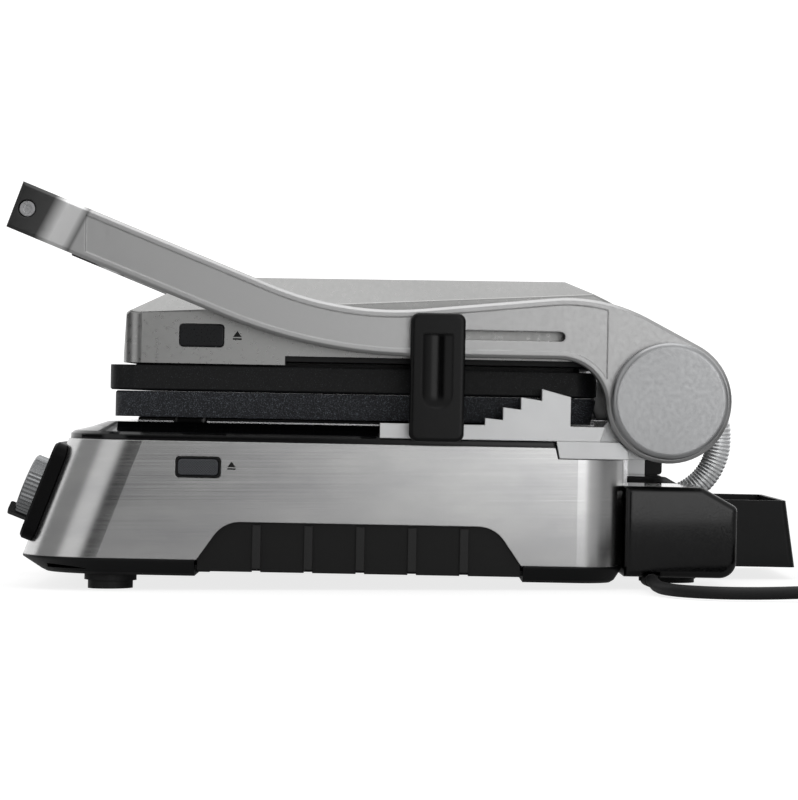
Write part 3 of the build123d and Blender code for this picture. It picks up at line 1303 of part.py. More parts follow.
def hose_places(step):
    """Even places along the hose, each a (y, z) with the direction of the hose there."""
    legs = []
    for kind, first, second in hose_legs():
        long = math.dist(first, second) if kind == "line" else second[0] * math.pi / 2
        legs.append((kind, first, second, long))
    total = sum(leg[-1] for leg in legs)
    count = round(total / step)
    for i in range(count + 1):
        s = total * i / count
        for kind, first, second, long in legs:
            if s <= long + TINY:
                break
            s -= long
        s = min(s, long)
        if kind == "line":
            way = ((second[0] - first[0]) / long, (second[1] - first[1]) / long)
            yield (first[0] + s * way[0], first[1] + s * way[1]), way
        else:
            turn = second[1] + s / second[0]
            yield around(first, second[0], turn), (-math.sin(turn), math.cos(turn))


def make_conduit():
    """The ribbed metal hose: each rib is four rings, and a plain bore runs through."""
    spots = list(hose_places(HOSE_PITCH / 4))
    spots = spots[: (len(spots) - 1) // 4 * 4 + 1]
    planes = [Plane(origin=(HOSE_X, *at), x_dir=(1, 0, 0), z_dir=(0, *way)) for at, way in spots]
    radii = (HOSE_R, HOSE_R, HOSE_R - HOSE_RIB, HOSE_R - HOSE_RIB)
    outer = loft([plane * Circle(radii[i % 4]) for i, plane in enumerate(planes)], ruled=True)
    inner = loft([plane * Circle(HOSE_BORE_R) for plane in planes[::4]], ruled=True)
    return outer - inner


# Rear
def make_rear_bracket():
    """The right-hand glossy black bracket behind the base, which the rear foot is under."""
    low_corner = (REAR_BACK_Y, REAR_Z)
    knee = (REAR_BACK_Y, REAR_TOP - REAR_SLOPE_DROP)
    brow = (REAR_BACK_Y - REAR_SLOPE_LONG, REAR_TOP)
    side = outline((REAR_Y, REAR_Z), low_corner, knee, brow, (REAR_Y, REAR_TOP))
    for place, radius in ((low_corner, REAR_LOW_ROUND), (knee, REAR_BACK_ROUND), (brow, REAR_TOP_ROUND)):
        side = fillet(min(side.vertices(), key=lambda v: math.dist((v.X, v.Y), place)), radius)
    body = slab(side, (REAR_IN, REAR_OUT))
    body = fillet(body.faces().sort_by(Axis.X)[-1].edges(), REAR_ROUND)
    return body - box(
        (REAR_IN + REAR_WALL, REAR_OUT - REAR_SIDE_WALL),
        (REAR_Y - PAST, REAR_BACK_Y - REAR_BACK_WALL),
        (REAR_Z + REAR_FLOOR, REAR_TOP - REAR_WALL),
    )


def make_drip_tray():
    """The black tray at the rear, open on top, with its rear wall leaning out towards the bottom."""
    top = TRAY_Z + TRAY_TALL
    top_back = TRAY_BACK_Y - TRAY_BATTER
    side = outline((TRAY_FRONT_Y, TRAY_Z), (TRAY_BACK_Y, TRAY_Z), (top_back, top), (TRAY_FRONT_Y, top))
    inner = outline(
        (TRAY_FRONT_Y + TRAY_WALL, TRAY_Z + TRAY_WALL),
        (TRAY_BACK_Y - TRAY_WALL, TRAY_Z + TRAY_WALL),
        (top_back - TRAY_WALL, top + PAST),
        (TRAY_FRONT_Y + TRAY_WALL, top + PAST),
    )
    tray = slab(side, (-TRAY_HALF, TRAY_HALF))
    upright = [e for e in tray.edges() if abs((e @ 1 - e @ 0).Z) > TRAY_TALL / 2]
    tray = fillet(upright, TRAY_CORNER)
    return tray - slab(inner, (TRAY_WALL - TRAY_HALF, TRAY_HALF - TRAY_WALL))


def make_grease_chute():
    """The bright channel from the lower plate's outlet down into the tray."""
    top = FRAME_TOP + SHEET + CHUTE_LAY
    low = TRAY_Z + TRAY_TALL + CHUTE_OVER
    brow = REAR_Y - OUTLET_LAP
    start = PLATE_REAR_Y - CHUTE_LAP
    front, back = CHUTE_BEND_Y - SHEET, CHUTE_BEND_Y + SHEET
    sheet = outline(
        (start, FRAME_TOP),
        (brow, FRAME_TOP),
        (front, FRAME_TOP - CHUTE_DROP),
        (front, low),
        (back, low),
        (back, FRAME_TOP - CHUTE_DROP + CHUTE_STEP),
        (brow + CHUTE_STEP, top),
        (start, top),
    )
    side = outline(
        (REAR_Y - CHUTE_WALL_LAP, FRAME_TOP),
        (brow, FRAME_TOP),
        (front, FRAME_TOP - CHUTE_DROP),
        (front, low),
        (CHUTE_BEND_Y + CHUTE_WALL_RISE, low),
        (CHUTE_BEND_Y + CHUTE_WALL_RISE, FRAME_TOP - CHUTE_DROP + CHUTE_STEP),
        (REAR_Y, FRAME_TOP + CHUTE_WALL_RISE),
        (REAR_Y - CHUTE_WALL_LAP, FRAME_TOP + CHUTE_WALL_RISE),
    )
    chute = slab(sheet, (-CHUTE_HALF, CHUTE_HALF))
    for part in both_sides(slab(side, (CHUTE_HALF - SHEET, CHUTE_HALF))):
        chute += part
    return chute


# How the level model stands on its feet
def turned(y, z):
    """A (Y, Z) place of the level model, once it leans back."""
    turn = math.radians(LEAN)
    return y * math.cos(turn) + z * math.sin(turn), z * math.cos(turn) - y * math.sin(turn)


def middle_shift():
    """The move along Y that puts the middle between the front pointer and the tray over the origin."""
    out = KNOB_BASE + KNOB_DEEP + POINTER_PROUD
    down = KNOB_DROP + (KNOB_R + POINTER_REACH) * math.cos(math.radians(POINTER_TURN))
    front = turned(
        front_y(BEZEL_Z) - out * math.cos(RAKE) - down * math.sin(RAKE),
        BEZEL_Z + out * math.sin(RAKE) - down * math.cos(RAKE),
    )
    return -(front[0] + turned(TRAY_BACK_Y, TRAY_Z)[0]) / 2


SHIFT_Y = middle_shift()


def leaned(y, z):
    """A (Y, Z) place of the level model, as it is when the grill stands on its feet."""
    turned_y, turned_z = turned(y, z)
    return turned_y + SHIFT_Y, turned_z


def lean_back(shape):
    """Turns the level model to how it stands on its feet, and centres it over the origin."""
    if isinstance(shape, list):
        return [lean_back(one) for one in shape]
    return Pos(0, SHIFT_Y, 0) * Rot(-LEAN, 0, 0) * shape


def make_feet(place, radius, tip_radius, top):
    """Two round rubber feet, flat on the table once the grill leans back."""
    foot = rod_up(*place, radius, (top - FOOT_STEP, top))
    foot += rod_up(*place, tip_radius, (-FOOT_BELOW, top))
    return [split(lean_back(one), bisect_by=Plane.XY, keep=Keep.TOP) for one in both_sides(foot)]


# Mains cord, in the frame of the table
CORD_EXIT = (REAR_OUT + BOOT_OUT, leaned(REAR_Y + BOOT_BEHIND, BOOT_Z)[0], BOOT_Z)
COIL_MIDDLE = (CORD_EXIT[0] + COIL_FROM_EXIT[0], CORD_EXIT[1] + COIL_FROM_EXIT[1])
GROWING = (Align.CENTER, Align.CENTER, Align.MIN)


def make_strain_relief():
    """The tapered boot where the mains cord comes out under the right rear bracket."""
    x, y, z = CORD_EXIT
    cone = Pos(x - BOOT_LONG, y, z) * Rot(0, 90, 0) * Cone(BOOT_R, BOOT_TIP_R, BOOT_LONG, align=GROWING)
    low = z - BOOT_STEM_DROP
    return cone + rod_up(x - BOOT_LONG + BOOT_STEM_R, y, BOOT_STEM_R, (low, low + BOOT_STEM_TALL))


def outlet_cut():
    """The groove and hole that the boot needs in the bracket."""
    x, y, z = CORD_EXIT
    room = BOOT_R + FIT
    groove = box((x - BOOT_LONG - FIT, x + PAST), (y - room, y + room), (-WALL_CUT, z + room))
    hole_z = (z - BOOT_STEM_DROP - PAST, z + BOOT_STEM_TALL + BOOT_ROOM)
    return groove + rod_up(x - BOOT_LONG + BOOT_STEM_R, y, BOOT_STEM_R + SEAT, hole_z)


def coil_place(turns):
    """A place on the coil's centre line, after so many turns: spiral in, climb a layer, spiral out."""
    climb_end = COIL_SPIRAL + COIL_CLIMB
    if turns <= COIL_SPIRAL:
        radius, up = COIL_OUTER_R - COIL_PITCH * turns, 0.0
    elif turns <= climb_end:
        share = (turns - COIL_SPIRAL) / COIL_CLIMB
        radius, up = COIL_INNER_R, share * share * (3 - 2 * share)
    else:
        radius, up = COIL_INNER_R + COIL_PITCH * (turns - climb_end), 1.0
    x, y = around(COIL_MIDDLE, radius, 2 * math.pi * turns)
    return Vector(x, y, COIL_LOW_Z + COIL_LAYER * up)


def coil_way(turns):
    """The coil's direction after so many turns. Its two ends leave square to the radius."""
    if turns in (0, COIL_TURNS):
        turn = 2 * math.pi * turns
        return Vector(-math.sin(turn), math.cos(turn), 0)
    tiny = 0.001
    return (coil_place(turns + tiny) - coil_place(turns - tiny)).normalized()


def biarc(start, start_way, end, end_way):
    """Two arcs that leave one place and reach another in the given directions."""
    across = end - start
    ways = start_way + end_way
    spread = 2 * (1 - start_way.dot(end_way))
    reach = (-across.dot(ways) + math.sqrt(across.dot(ways) ** 2 + spread * across.dot(across))) / spread
    middle = (start + start_way * reach + end - end_way * reach) * 0.5
    first = TangentArc(start, middle, tangent=start_way)
    return [first, TangentArc(middle, end, tangent=first % 1)]


def coil_path():
    """The coil's centre line, as arcs of under a quarter turn with a straight lead at each end."""
    count = round(COIL_TURNS * 4)
    spots = [COIL_TURNS * i / count for i in range(count)] + [COIL_TURNS]
    ways = [coil_way(t) for t in spots]
    edges = [Line(coil_place(0) - ways[0] * COIL_LEAD, coil_place(0))]
    for a, b, way_a, way_b in zip(spots, spots[1:], ways, ways[1:]):
        edges += biarc(coil_place(a), way_a, coil_place(b), way_b)
    end = coil_place(COIL_TURNS)
    edges.append(Line(end, end + ways[-1] * COIL_LEAD))
    return Wire(edges)


def tube(path, radius):
    """A round tube along a path."""
    return sweep(Plane(origin=path @ 0, z_dir=path % 0) * Circle(radius), path=path)


def run_corners():
    """The places from the boot over the table to the coil, and the radius of the corner at each between."""
    x, y, _ = CORD_EXIT
    points = [CORD_EXIT, *((x + ahead, y + behind, z) for ahead, behind, z in CORD_ROUTE)]
    points.append(tuple(coil_path() @ 0))
    radii = []
    for a, b, c in zip(points, points[1:], points[2:]):
        before, after = Vector(*b) - Vector(*a), Vector(*c) - Vector(*b)
        half_turn = math.radians(before.get_angle(after)) / 2
        radii.append(CORD_BEND_SHARE * min(before.length, after.length) / math.tan(half_turn))
    return points, radii


def print_tube(name, path, solid):
    """Prints a cord tube's length, and its volume as a share of its section times its length."""
    share = solid.volume / (math.pi * CORD_R**2 * path.length)
    print(name, "length", round(path.length, 1), "volume share", round(share, 3))


def least_gap(path, radius):
    """The least gap between the turns of a tube, measured on points along it."""
    spots = [path @ (i / GAP_STEPS) for i in range(GAP_STEPS + 1)]
    apart = round(GAP_APART * radius / (path.length / GAP_STEPS))
    pairs = ((spots[i], spots[j]) for i in range(GAP_STEPS + 1) for j in range(i + apart, GAP_STEPS + 1))
    return min((a - b).length for a, b in pairs) - 2 * radius


def make_cord_run():
    """The cord from its boot over the table to the coil."""
    points, radii = run_corners()
    path = FilletPolyline(*points, radius=radii)
    run = tube(path, CORD_R)
    print("cord run radii", [round(radius, 1) for radius in radii])
    print_tube("cord run", path, run)
    return run


def make_cord_coil():
    """The put-away length of the cord, wound in two layers."""
    path = coil_path()
    coil = tube(path, CORD_R)
    print_tube("coil", path, coil)
    print("coil least gap to itself", round(least_gap(path, CORD_R), 2))
    return coil


def make_cord_tie():
    """The band round the coil's turns on the side away from the cord's two ends."""
    x = (-COIL_OUTER_R - CORD_R - FIT, -COIL_INNER_R + CORD_R + FIT)
    z = (COIL_LOW_Z - CORD_R - FIT, COIL_LOW_Z + COIL_LAYER + CORD_R + FIT)
    y = (-TIE_WIDE / 2, TIE_WIDE / 2)
    t = TIE_THICK
    band = box((x[0] - t, x[1] + t), y, (z[0] - t, z[1] + t))
    band = fillet(band.edges().filter_by(Axis.Y), TIE_ROUND)
    hole = box(x, (y[0] - PAST, y[1] + PAST), z)
    return Pos(*COIL_MIDDLE, 0) * (band - fillet(hole.edges().filter_by(Axis.Y), TIE_INNER_ROUND))


def plug_place():
    """Where the coil's free end meets the plug's boot, and the height of the plug's middle."""
    end = coil_path() @ 1
    return end, max(end.Z - PLUG_DROP, PLUG_TALL / 2 + PLUG_OFF_TABLE)


def make_plug():
    """The two-pin plug: a soft boot and a rounded body that lies flat."""
    end, middle = plug_place()
    high = end.X - PLUG_BOOT
    low = high - PLUG_LONG
    boot = Pos(high, end.Y, end.Z) * Rot(0, 90, 0) * Cone(
        PLUG_BOOT_R, CORD_R + PLUG_BOOT_TIP, PLUG_BOOT, align=GROWING
    )
    y = (end.Y - PLUG_WIDE / 2, end.Y + PLUG_WIDE / 2)
    body = box((low, high), y, (middle - PLUG_TALL / 2, middle + PLUG_TALL / 2))
    body = fillet(body.edges().filter_by(Axis.Z), PLUG_CORNER)
    body = fillet(body.faces().sort_by(Axis.Z)[-1].edges(), PLUG_ROUND)
    for side in (-1, 1):
        at = end.Y + side * PIN_PITCH / 2
        body -= rod(at, middle, PIN_R + SEAT, (low - PAST, low + PIN_GRIP + PAST))
    return body + boot


def make_plug_pins():
    """The two round pins of the plug."""
    end, middle = plug_place()
    low = end.X - PLUG_BOOT - PLUG_LONG
    x = (low - PIN_LONG, low + PIN_GRIP)
    return [rod(end.Y + side * PIN_PITCH / 2, middle, PIN_R, x) for side in (-1, 1)]


def make_level_parts():
    """Every node but the feet and the cord, before the model leans back."""
    right_bracket = make_hinge_bracket()
    lower_half = WELL_HALF - FIT
    upper_half = UPPER_WELL_HALF - FIT
    lower_y = (WELL_FRONT_Y + FIT, WELL_REAR_Y - FIT)
    upper_y = (UPPER_WELL_FRONT + FIT, UPPER_WELL_REAR - FIT)
    parts = {
        "base_shell": make_base_shell(),
        "top_frame": make_top_frame(),
        "base_pan": make_base_pan(),
        "vent_panels": make_vent_panels(),
        "control_bezel": make_control_bezel(),
        "pilot_lenses": make_pilot_lenses(),
        "rotary_controls": make_rotary_controls(),
        "control_board": make_control_board(),
        "height_rail": make_height_rail(),
        "hinge_bracket_right": right_bracket,
        "hinge_bracket_left": make_left_hinge_bracket(right_bracket),
        "hinge_cover": make_hinge_cover(),
        "hinge_buffer": make_hinge_buffer(),
        "bracket_screws": make_bracket_screws(),
        "hinge_tube": make_hinge_tube(),
        "hinge_bolts": make_hinge_bolts(),
        "hinge_sleeves": make_hinge_sleeves(),
        "conduit": make_conduit(),
        "conduit_glands": make_conduit_glands(),
        "rear_bracket_left": mirror(make_rear_bracket(), about=Plane.YZ),
        "button_surround": make_button_surround(),
        "lower_plate": make_lower_plate(),
        "lower_element": make_element(lower_half, *lower_y, LOWER_LIP_Z - ELEMENT_SUNK),
        "lower_reflector": make_reflector(lower_half, *lower_y, LOWER_LIP_Z, False),
        "grease_chute": make_grease_chute(),
        "terminal_block": make_terminal_block(),
        "drip_tray": make_drip_tray(),
        "arm_right": make_arm(True),
        "arm_left": mirror(make_arm(False), about=Plane.YZ),
        "drum_caps": make_drum_caps(),
        "handle_bar": make_handle_bar(),
        "handle_screws": make_handle_screws(),
        "lid_pivot_pins": make_pivot_pins(),
        "lid_pivot_bushes": make_pivot_bushes(),
        "height_slider": make_height_slider(),
        "slider_guide": make_slider_guide(),
        "lid_housing": make_lid_housing(),
        "lid_skirt": make_lid_skirt(),
        "upper_plate": make_upper_plate(),
        "upper_element": make_element(upper_half, *upper_y, UPPER_LIP_Z + ELEMENT_SUNK),
        "upper_reflector": make_reflector(upper_half, *upper_y, UPPER_LIP_Z, True),
        "lid_button": make_button(LID_BUTTON_LONG, LID_BUTTON_TALL, LID_BUTTON_Z, LID_HALF),
        "lid_button_spring": make_spring(LID_STOP_X, LID_BUTTON_Z),
        "base_button": make_button(BUTTON_LONG - 2 * FIT, BUTTON_TALL - 2 * FIT, BASE_BUTTON_Z, BASE_HALF),
        "base_button_spring": make_spring(BASE_STOP_X, BASE_BUTTON_Z),
    }
    for name, x in (("left", -KNOB_PITCH), ("middle", 0), ("right", KNOB_PITCH)):
        parts[f"knob_{name}_ring"] = make_knob_ring(x)
        parts[f"knob_{name}_cap"] = make_knob_cap(x)
    return parts


def make_parts():
    """Every node by name, as it stands on its feet."""
    parts = {name: lean_back(shape) for name, shape in make_level_parts().items()}
    parts["rear_bracket_right"] = lean_back(make_rear_bracket()) - outlet_cut()
    parts["front_feet"] = make_feet(FRONT_FOOT, FRONT_FOOT_R, FRONT_FOOT_TIP_R, PAN_Z)
    parts["rear_feet"] = make_feet(REAR_FOOT, REAR_FOOT_R, REAR_FOOT_TIP_R, REAR_Z)
    parts["strain_relief"] = make_strain_relief()
    parts["cord_run"] = make_cord_run()
    parts["cord_coil"] = make_cord_coil()
    parts["cord_tie"] = make_cord_tie()
    parts["plug"] = make_plug()
    parts["plug_pins"] = make_plug_pins()
    return parts


def main():
    """Writes one STEP file for each node."""
    os.makedirs("parts", exist_ok=True)
    for name, shape in make_parts().items():
        solids = [s for one in (shape if isinstance(shape, list) else [shape]) for s in one.solids()]
        node = solids[0] if len(solids) == 1 else Compound(children=solids)
        export_step(node, f"parts/{name}.step")
        print(name, len(solids), round(sum(s.volume for s in solids)))


if __name__ == "__main__":
    main()
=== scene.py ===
import json
import math
import bpy
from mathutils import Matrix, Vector


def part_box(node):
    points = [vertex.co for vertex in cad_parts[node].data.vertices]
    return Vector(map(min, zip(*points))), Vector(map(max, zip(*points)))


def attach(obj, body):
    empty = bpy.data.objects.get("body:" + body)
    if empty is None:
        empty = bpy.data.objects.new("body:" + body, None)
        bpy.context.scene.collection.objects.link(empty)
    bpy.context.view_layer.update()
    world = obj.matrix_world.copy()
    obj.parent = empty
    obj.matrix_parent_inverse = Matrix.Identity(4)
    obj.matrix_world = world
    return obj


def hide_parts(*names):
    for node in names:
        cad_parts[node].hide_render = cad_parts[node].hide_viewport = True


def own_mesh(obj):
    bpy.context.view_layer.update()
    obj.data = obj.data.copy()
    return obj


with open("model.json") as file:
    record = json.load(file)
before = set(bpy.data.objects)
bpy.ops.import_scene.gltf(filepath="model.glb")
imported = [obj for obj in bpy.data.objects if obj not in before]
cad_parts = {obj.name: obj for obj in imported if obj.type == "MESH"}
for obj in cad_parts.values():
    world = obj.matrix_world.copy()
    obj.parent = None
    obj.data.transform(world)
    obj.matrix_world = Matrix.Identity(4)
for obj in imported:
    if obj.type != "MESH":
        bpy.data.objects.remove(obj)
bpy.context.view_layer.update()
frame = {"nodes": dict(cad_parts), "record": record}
nodes = frame["nodes"]
slot_of = {s["node"]: s["material_slot"] for s in frame["record"]["subparts"]}
MM = 0.001


# Camera: level, and square to the right-hand side
CAMERA_X = 1.772
CAMERA_Y = -4.417 * MM
CAMERA_Z = 0.0892
FOCAL_PX = 3435  # focal length in pixels of the photograph
FRAME_PX = 800  # the photograph's longer side
SENSOR = 36
CLIP_START = 0.05
camera_data = bpy.data.cameras.new("camera")
camera_data.lens = FOCAL_PX * SENSOR / FRAME_PX
camera_data.sensor_width = SENSOR
camera_data.clip_start = CLIP_START
camera = bpy.data.objects.new("camera", camera_data)
camera.location = (CAMERA_X, CAMERA_Y, CAMERA_Z)
camera.rotation_euler = (math.pi / 2, 0, math.pi / 2)
bpy.context.scene.collection.objects.link(camera)
bpy.context.scene.camera = camera


# Node helpers
class Nodes:
    """A node tree, with short ways to add nodes to it."""

    def __init__(self, tree):
        self.tree = tree

    def add(self, kind, **values):
        node = self.tree.nodes.new(kind)
        for key, value in values.items():
            setattr(node, key, value)
        return node

    def link(self, a, b):
        self.tree.links.new(a, b)

    def math(self, operation, a, b=0.0):
        node = self.add("ShaderNodeMath", operation=operation)
        for socket, value in zip(node.inputs, (a, b)):
            if isinstance(value, (int, float)):
                socket.default_value = value
            else:
                self.link(value, socket)
        return node.outputs[0]

    def range(self, value, low, high, from_low=0.3, from_high=0.7):
        node = self.add("ShaderNodeMapRange")
        node.inputs["From Min"].default_value = from_low
        node.inputs["From Max"].default_value = from_high
        node.inputs["To Min"].default_value = low
        node.inputs["To Max"].default_value = high
        self.link(value, node.inputs["Value"])
        return node.outputs["Result"]

    def ramp(self, value, stops):
        """A colour ramp over the value. Each stop is a place and a grey or a colour."""
        node = self.add("ShaderNodeValToRGB")
        elements = node.color_ramp.elements
        while len(elements) > 1:
            elements.remove(elements[-1])
        for i, (place, colour) in enumerate(stops):
            element = elements[0] if i == 0 else elements.new(place)
            element.position = place
            if not isinstance(colour, tuple):
                colour = (colour, colour, colour)
            element.color = (*colour, 1.0)
        self.link(value, node.inputs["Fac"])
        return node.outputs["Color"]

    def mix(self, share, a, b):
        """A blend from colour a to colour b. Each is a colour or another node's output."""
        node = self.add("ShaderNodeMix", data_type="RGBA")
        self.link(share, node.inputs["Factor"])
        for socket, value in ((node.inputs["A"], a), (node.inputs["B"], b)):
            if isinstance(value, tuple):
                socket.default_value = (*value, 1.0)
            else:
                self.link(value, socket)
        return node.outputs["Result"]


class Look(Nodes):
    """A material of one Principled shader. Its noises lie in the object's own coordinates, in metres."""

    def __init__(self, name):
        self.mat = bpy.data.materials.new(name)
        self.mat.use_nodes = True
        super().__init__(self.mat.node_tree)
        self.shader = self.tree.nodes["Principled BSDF"]

    def coords(self, scale):
        """The object's coordinates times one number, or times one number for each axis."""
        place = self.add("ShaderNodeTexCoord")
        mapping = self.add("ShaderNodeMapping")
        mapping.inputs["Scale"].default_value = scale if isinstance(scale, tuple) else (scale, scale, scale)
        self.link(place.outputs["Object"], mapping.inputs["Vector"])
        return mapping.outputs["Vector"]

    def noise(self, scale, detail=2.0, rough=0.5):
        node = self.add("ShaderNodeTexNoise")
        node.inputs["Scale"].default_value = 1.0
        node.inputs["Detail"].default_value = detail
        node.inputs["Roughness"].default_value = rough
        self.link(self.coords(scale), node.inputs["Vector"])
        return node.outputs["Fac"]

    def along(self, obj, start, way):
        """How far a place on an object is from a start along a direction, both given in the world."""
        turn = obj.matrix_world.to_3x3().transposed()
        dot = self.add("ShaderNodeVectorMath", operation="DOT_PRODUCT")
        self.link(self.coords(1), dot.inputs[0])
        dot.inputs[1].default_value = turn @ Vector(way)
        offset = Vector(way).dot(obj.matrix_world.translation - Vector(start))
        return self.math("ADD", dot.outputs["Value"], offset)

    def mottle(self, scale, dark, pale, detail=2.0):
        """A base colour that drifts between two tones."""
        self.set(base_color=self.ramp(self.noise(scale, detail), [(0.3, dark), (0.7, pale)]))

    def bump(self, height, strength, distance=0.0001, soft_edge=0.0):
        node = self.add("ShaderNodeBump")
        node.inputs["Strength"].default_value = strength
        node.inputs["Distance"].default_value = distance
        self.link(height, node.inputs["Height"])
        if soft_edge:
            bevel = self.add("ShaderNodeBevel", samples=4)
            bevel.inputs["Radius"].default_value = soft_edge
            self.link(bevel.outputs["Normal"], node.inputs["Normal"])
        self.link(node.outputs["Normal"], self.shader.inputs["Normal"])

    def set(self, **values):
        """Sets the shader's own sockets, which are named as in Blender but with underscores."""
        for key, value in values.items():
            socket = self.shader.inputs[key.replace("_", " ").title().replace("Ior", "IOR")]
            if isinstance(value, (int, float)):
                socket.default_value = value
            elif isinstance(value, tuple):
                socket.default_value = (*value, 1.0)
            else:
                self.link(value, socket)


# Materials
MOULDED_GRAIN = 1400  # noise scale of the grain on moulded plastic

# Painted reflection on each arm's polished handle end, from the handle end down the arm
ARM_END = (0.0, -0.1842, 0.1807)
ARM_WAY = (0.0, 0.882, -0.471)
ARM_PAINTED_REFLECTION_SPAN = 0.0425
ARM_PAINTED_REFLECTION_TONES = [
    (0.0, 0.05), (0.36, 0.08),  # painted reflection: dark first
    (0.52, 0.75), (0.68, 0.7),  # and then a bright painted reflection
    (0.76, 0.2),  # a painted shade line where it meets the satin face
    # the satin face's own grey from here on
    (0.79, 0.44), (1.0, 0.44),
]

# Distances from the middle at which a vent panel's face and its ribs lie
PANEL_FACE_X = 0.1572
PANEL_RIB_X = 0.1585

HATCH_WAVES = 5200.0  # radians per metre, along both diagonals


def stainless():
    """Stainless steel, brushed along the level direction."""
    look = Look("stainless")
    streak = look.noise((9, 9, 2600), 4.0, 0.6)
    look.mottle((26, 26, 60), (0.5, 0.5, 0.505), (0.58, 0.58, 0.575), 3.0)
    look.set(metallic=1.0, roughness=look.range(streak, 0.17, 0.25), anisotropic=0.2)
    look.bump(streak, 0.04, soft_edge=0.0005)
    return look.mat


def satin(name, colour, roughness, scale, edge=0.0006, strength=0.06):
    """Satin metal. Its grain is long in the directions where the scale is small."""
    look = Look(name)
    grain = look.noise(scale, 4.0, 0.6)
    look.mottle(14, tuple(c * 0.9 for c in colour), colour)
    look.set(metallic=1.0, roughness=look.range(grain, roughness - 0.05, roughness + 0.06))
    look.bump(grain, strength, soft_edge=edge)
    return look.mat


def arm_metal(name, obj):
    """Satin cast metal, with a painted reflection at the handle end: what the polished end mirrors, and the
    shade line at its joint, are painted into the base colour.
    """
    look = Look(name)
    grain = look.noise(500, 4.0, 0.6)
    place = look.along(obj, ARM_END, ARM_WAY)
    # Painted reflection and painted shade: this base colour along the handle end stands in for what the
    # polished end mirrors
    look.set(base_color=look.ramp(look.range(place, 0.0, 1.0, 0.0, ARM_PAINTED_REFLECTION_SPAN), ARM_PAINTED_REFLECTION_TONES))
    look.set(metallic=1.0, roughness=look.range(grain, 0.3, 0.4))
    look.bump(grain, 0.03, soft_edge=0.0009)
    return look.mat


def ribbed_panel(name, obj):
    """Black plastic whose raised ribs are painted a little paler than the face between them, as a painted
    highlight.
    """
    look = Look(name)
    fine = look.noise(MOULDED_GRAIN)
    side = look.math("ABSOLUTE", look.along(obj, (0, 0, 0), (1, 0, 0)))
    rib_highlight_mask = look.range(side, 0.0, 1.0, PANEL_FACE_X, PANEL_RIB_X)
    # Painted highlight: the proud ribs get a paler base colour than the face between them
    look.set(base_color=look.ramp(rib_highlight_mask, [(0.0, 0.002), (1.0, 0.02)]))
    look.set(roughness=look.range(fine, 0.36, 0.45), specular_ior_level=0.25)
    look.bump(fine, 0.05, soft_edge=0.0005)
    return look.mat


def cast(name, colour, roughness):
    """Light grey cast metal with a soft mottled face."""
    look = Look(name)
    grain = look.noise(900, 3.0)
    look.mottle(40, tuple(c * 0.9 for c in colour), colour)
    look.set(metallic=0.75, roughness=look.range(grain, roughness - 0.05, roughness + 0.07))
    look.bump(grain, 0.1, soft_edge=0.0006)
    return look.mat


def nonstick(name, base, speck, threshold):
    """Black non-stick coat with pale specks: the higher the threshold, the fewer of them."""
    look = Look(name)
    cells = look.add("ShaderNodeTexVoronoi", feature="F1")
    cells.inputs["Scale"].default_value = 1.0
    look.link(look.coords(1500), cells.inputs["Vector"])
    fine = look.noise(2400)
    dots = look.range(fine, 0.0, 1.0, threshold, threshold + 0.08)
    look.set(base_color=look.mix(dots, base, speck))
    look.set(roughness=look.range(fine, 0.55, 0.4), specular_ior_level=0.25)
    look.bump(cells.outputs["Distance"], 0.25, 0.0002, 0.0006)
    return look.mat


def plastic(name, colour, roughness, grain=0.05, edge=0.0005, coat=0.0, shine=0.25):
    """Moulded plastic with a fine grain."""
    look = Look(name)
    fine = look.noise(MOULDED_GRAIN)
    look.mottle(30, colour, tuple(c * 1.25 + 0.0008 for c in colour))
    look.set(roughness=look.range(fine, roughness - 0.04, roughness + 0.05))
    look.set(coat_weight=coat, coat_roughness=0.04, specular_ior_level=shine)
    look.bump(fine, grain, soft_edge=edge)
    return look.mat


def hatched(name):
    """Black plastic with a small diamond relief, with painted shade in its grooves and a painted highlight
    on its ridges.
    """
    look = Look(name)
    space = look.add("ShaderNodeSeparateXYZ")
    look.link(look.coords(1), space.inputs["Vector"])
    waves = []
    for way in (1.0, -1.0):
        diagonal = look.math("ADD", look.math("MULTIPLY", space.outputs["Z"], way), space.outputs["Y"])
        waves.append(look.math("SINE", look.math("MULTIPLY", diagonal, HATCH_WAVES)))
    height = look.math("MAXIMUM", *waves)
    # Painted shade and highlight: the base colour is darker in the grooves and paler on the ridges
    look.set(base_color=look.ramp(height, [(0.2, (0.012, 0.013, 0.016)), (0.95, (0.07, 0.075, 0.085))]))
    look.set(roughness=0.4)
    look.bump(height, 0.5, 0.0002)
    return look.mat


def bright_hose(name):
    """The hose's bright metal, with a fine grain."""
    look = Look(name)
    fine = look.noise(1600)
    look.set(base_color=look.ramp(fine, [(0.35, (0.7, 0.71, 0.72)), (0.65, (0.86, 0.87, 0.88))]))
    look.set(metallic=0.8, roughness=0.4)
    look.bump(fine, 0.2, 0.0002)
    return look.mat


def lens(name):
    """Clear red plastic."""
    look = Look(name)
    look.mottle(300, (0.5, 0.02, 0.01), (0.62, 0.05, 0.03), 1.0)
    look.set(roughness=0.1, transmission_weight=0.4)
    return look.mat


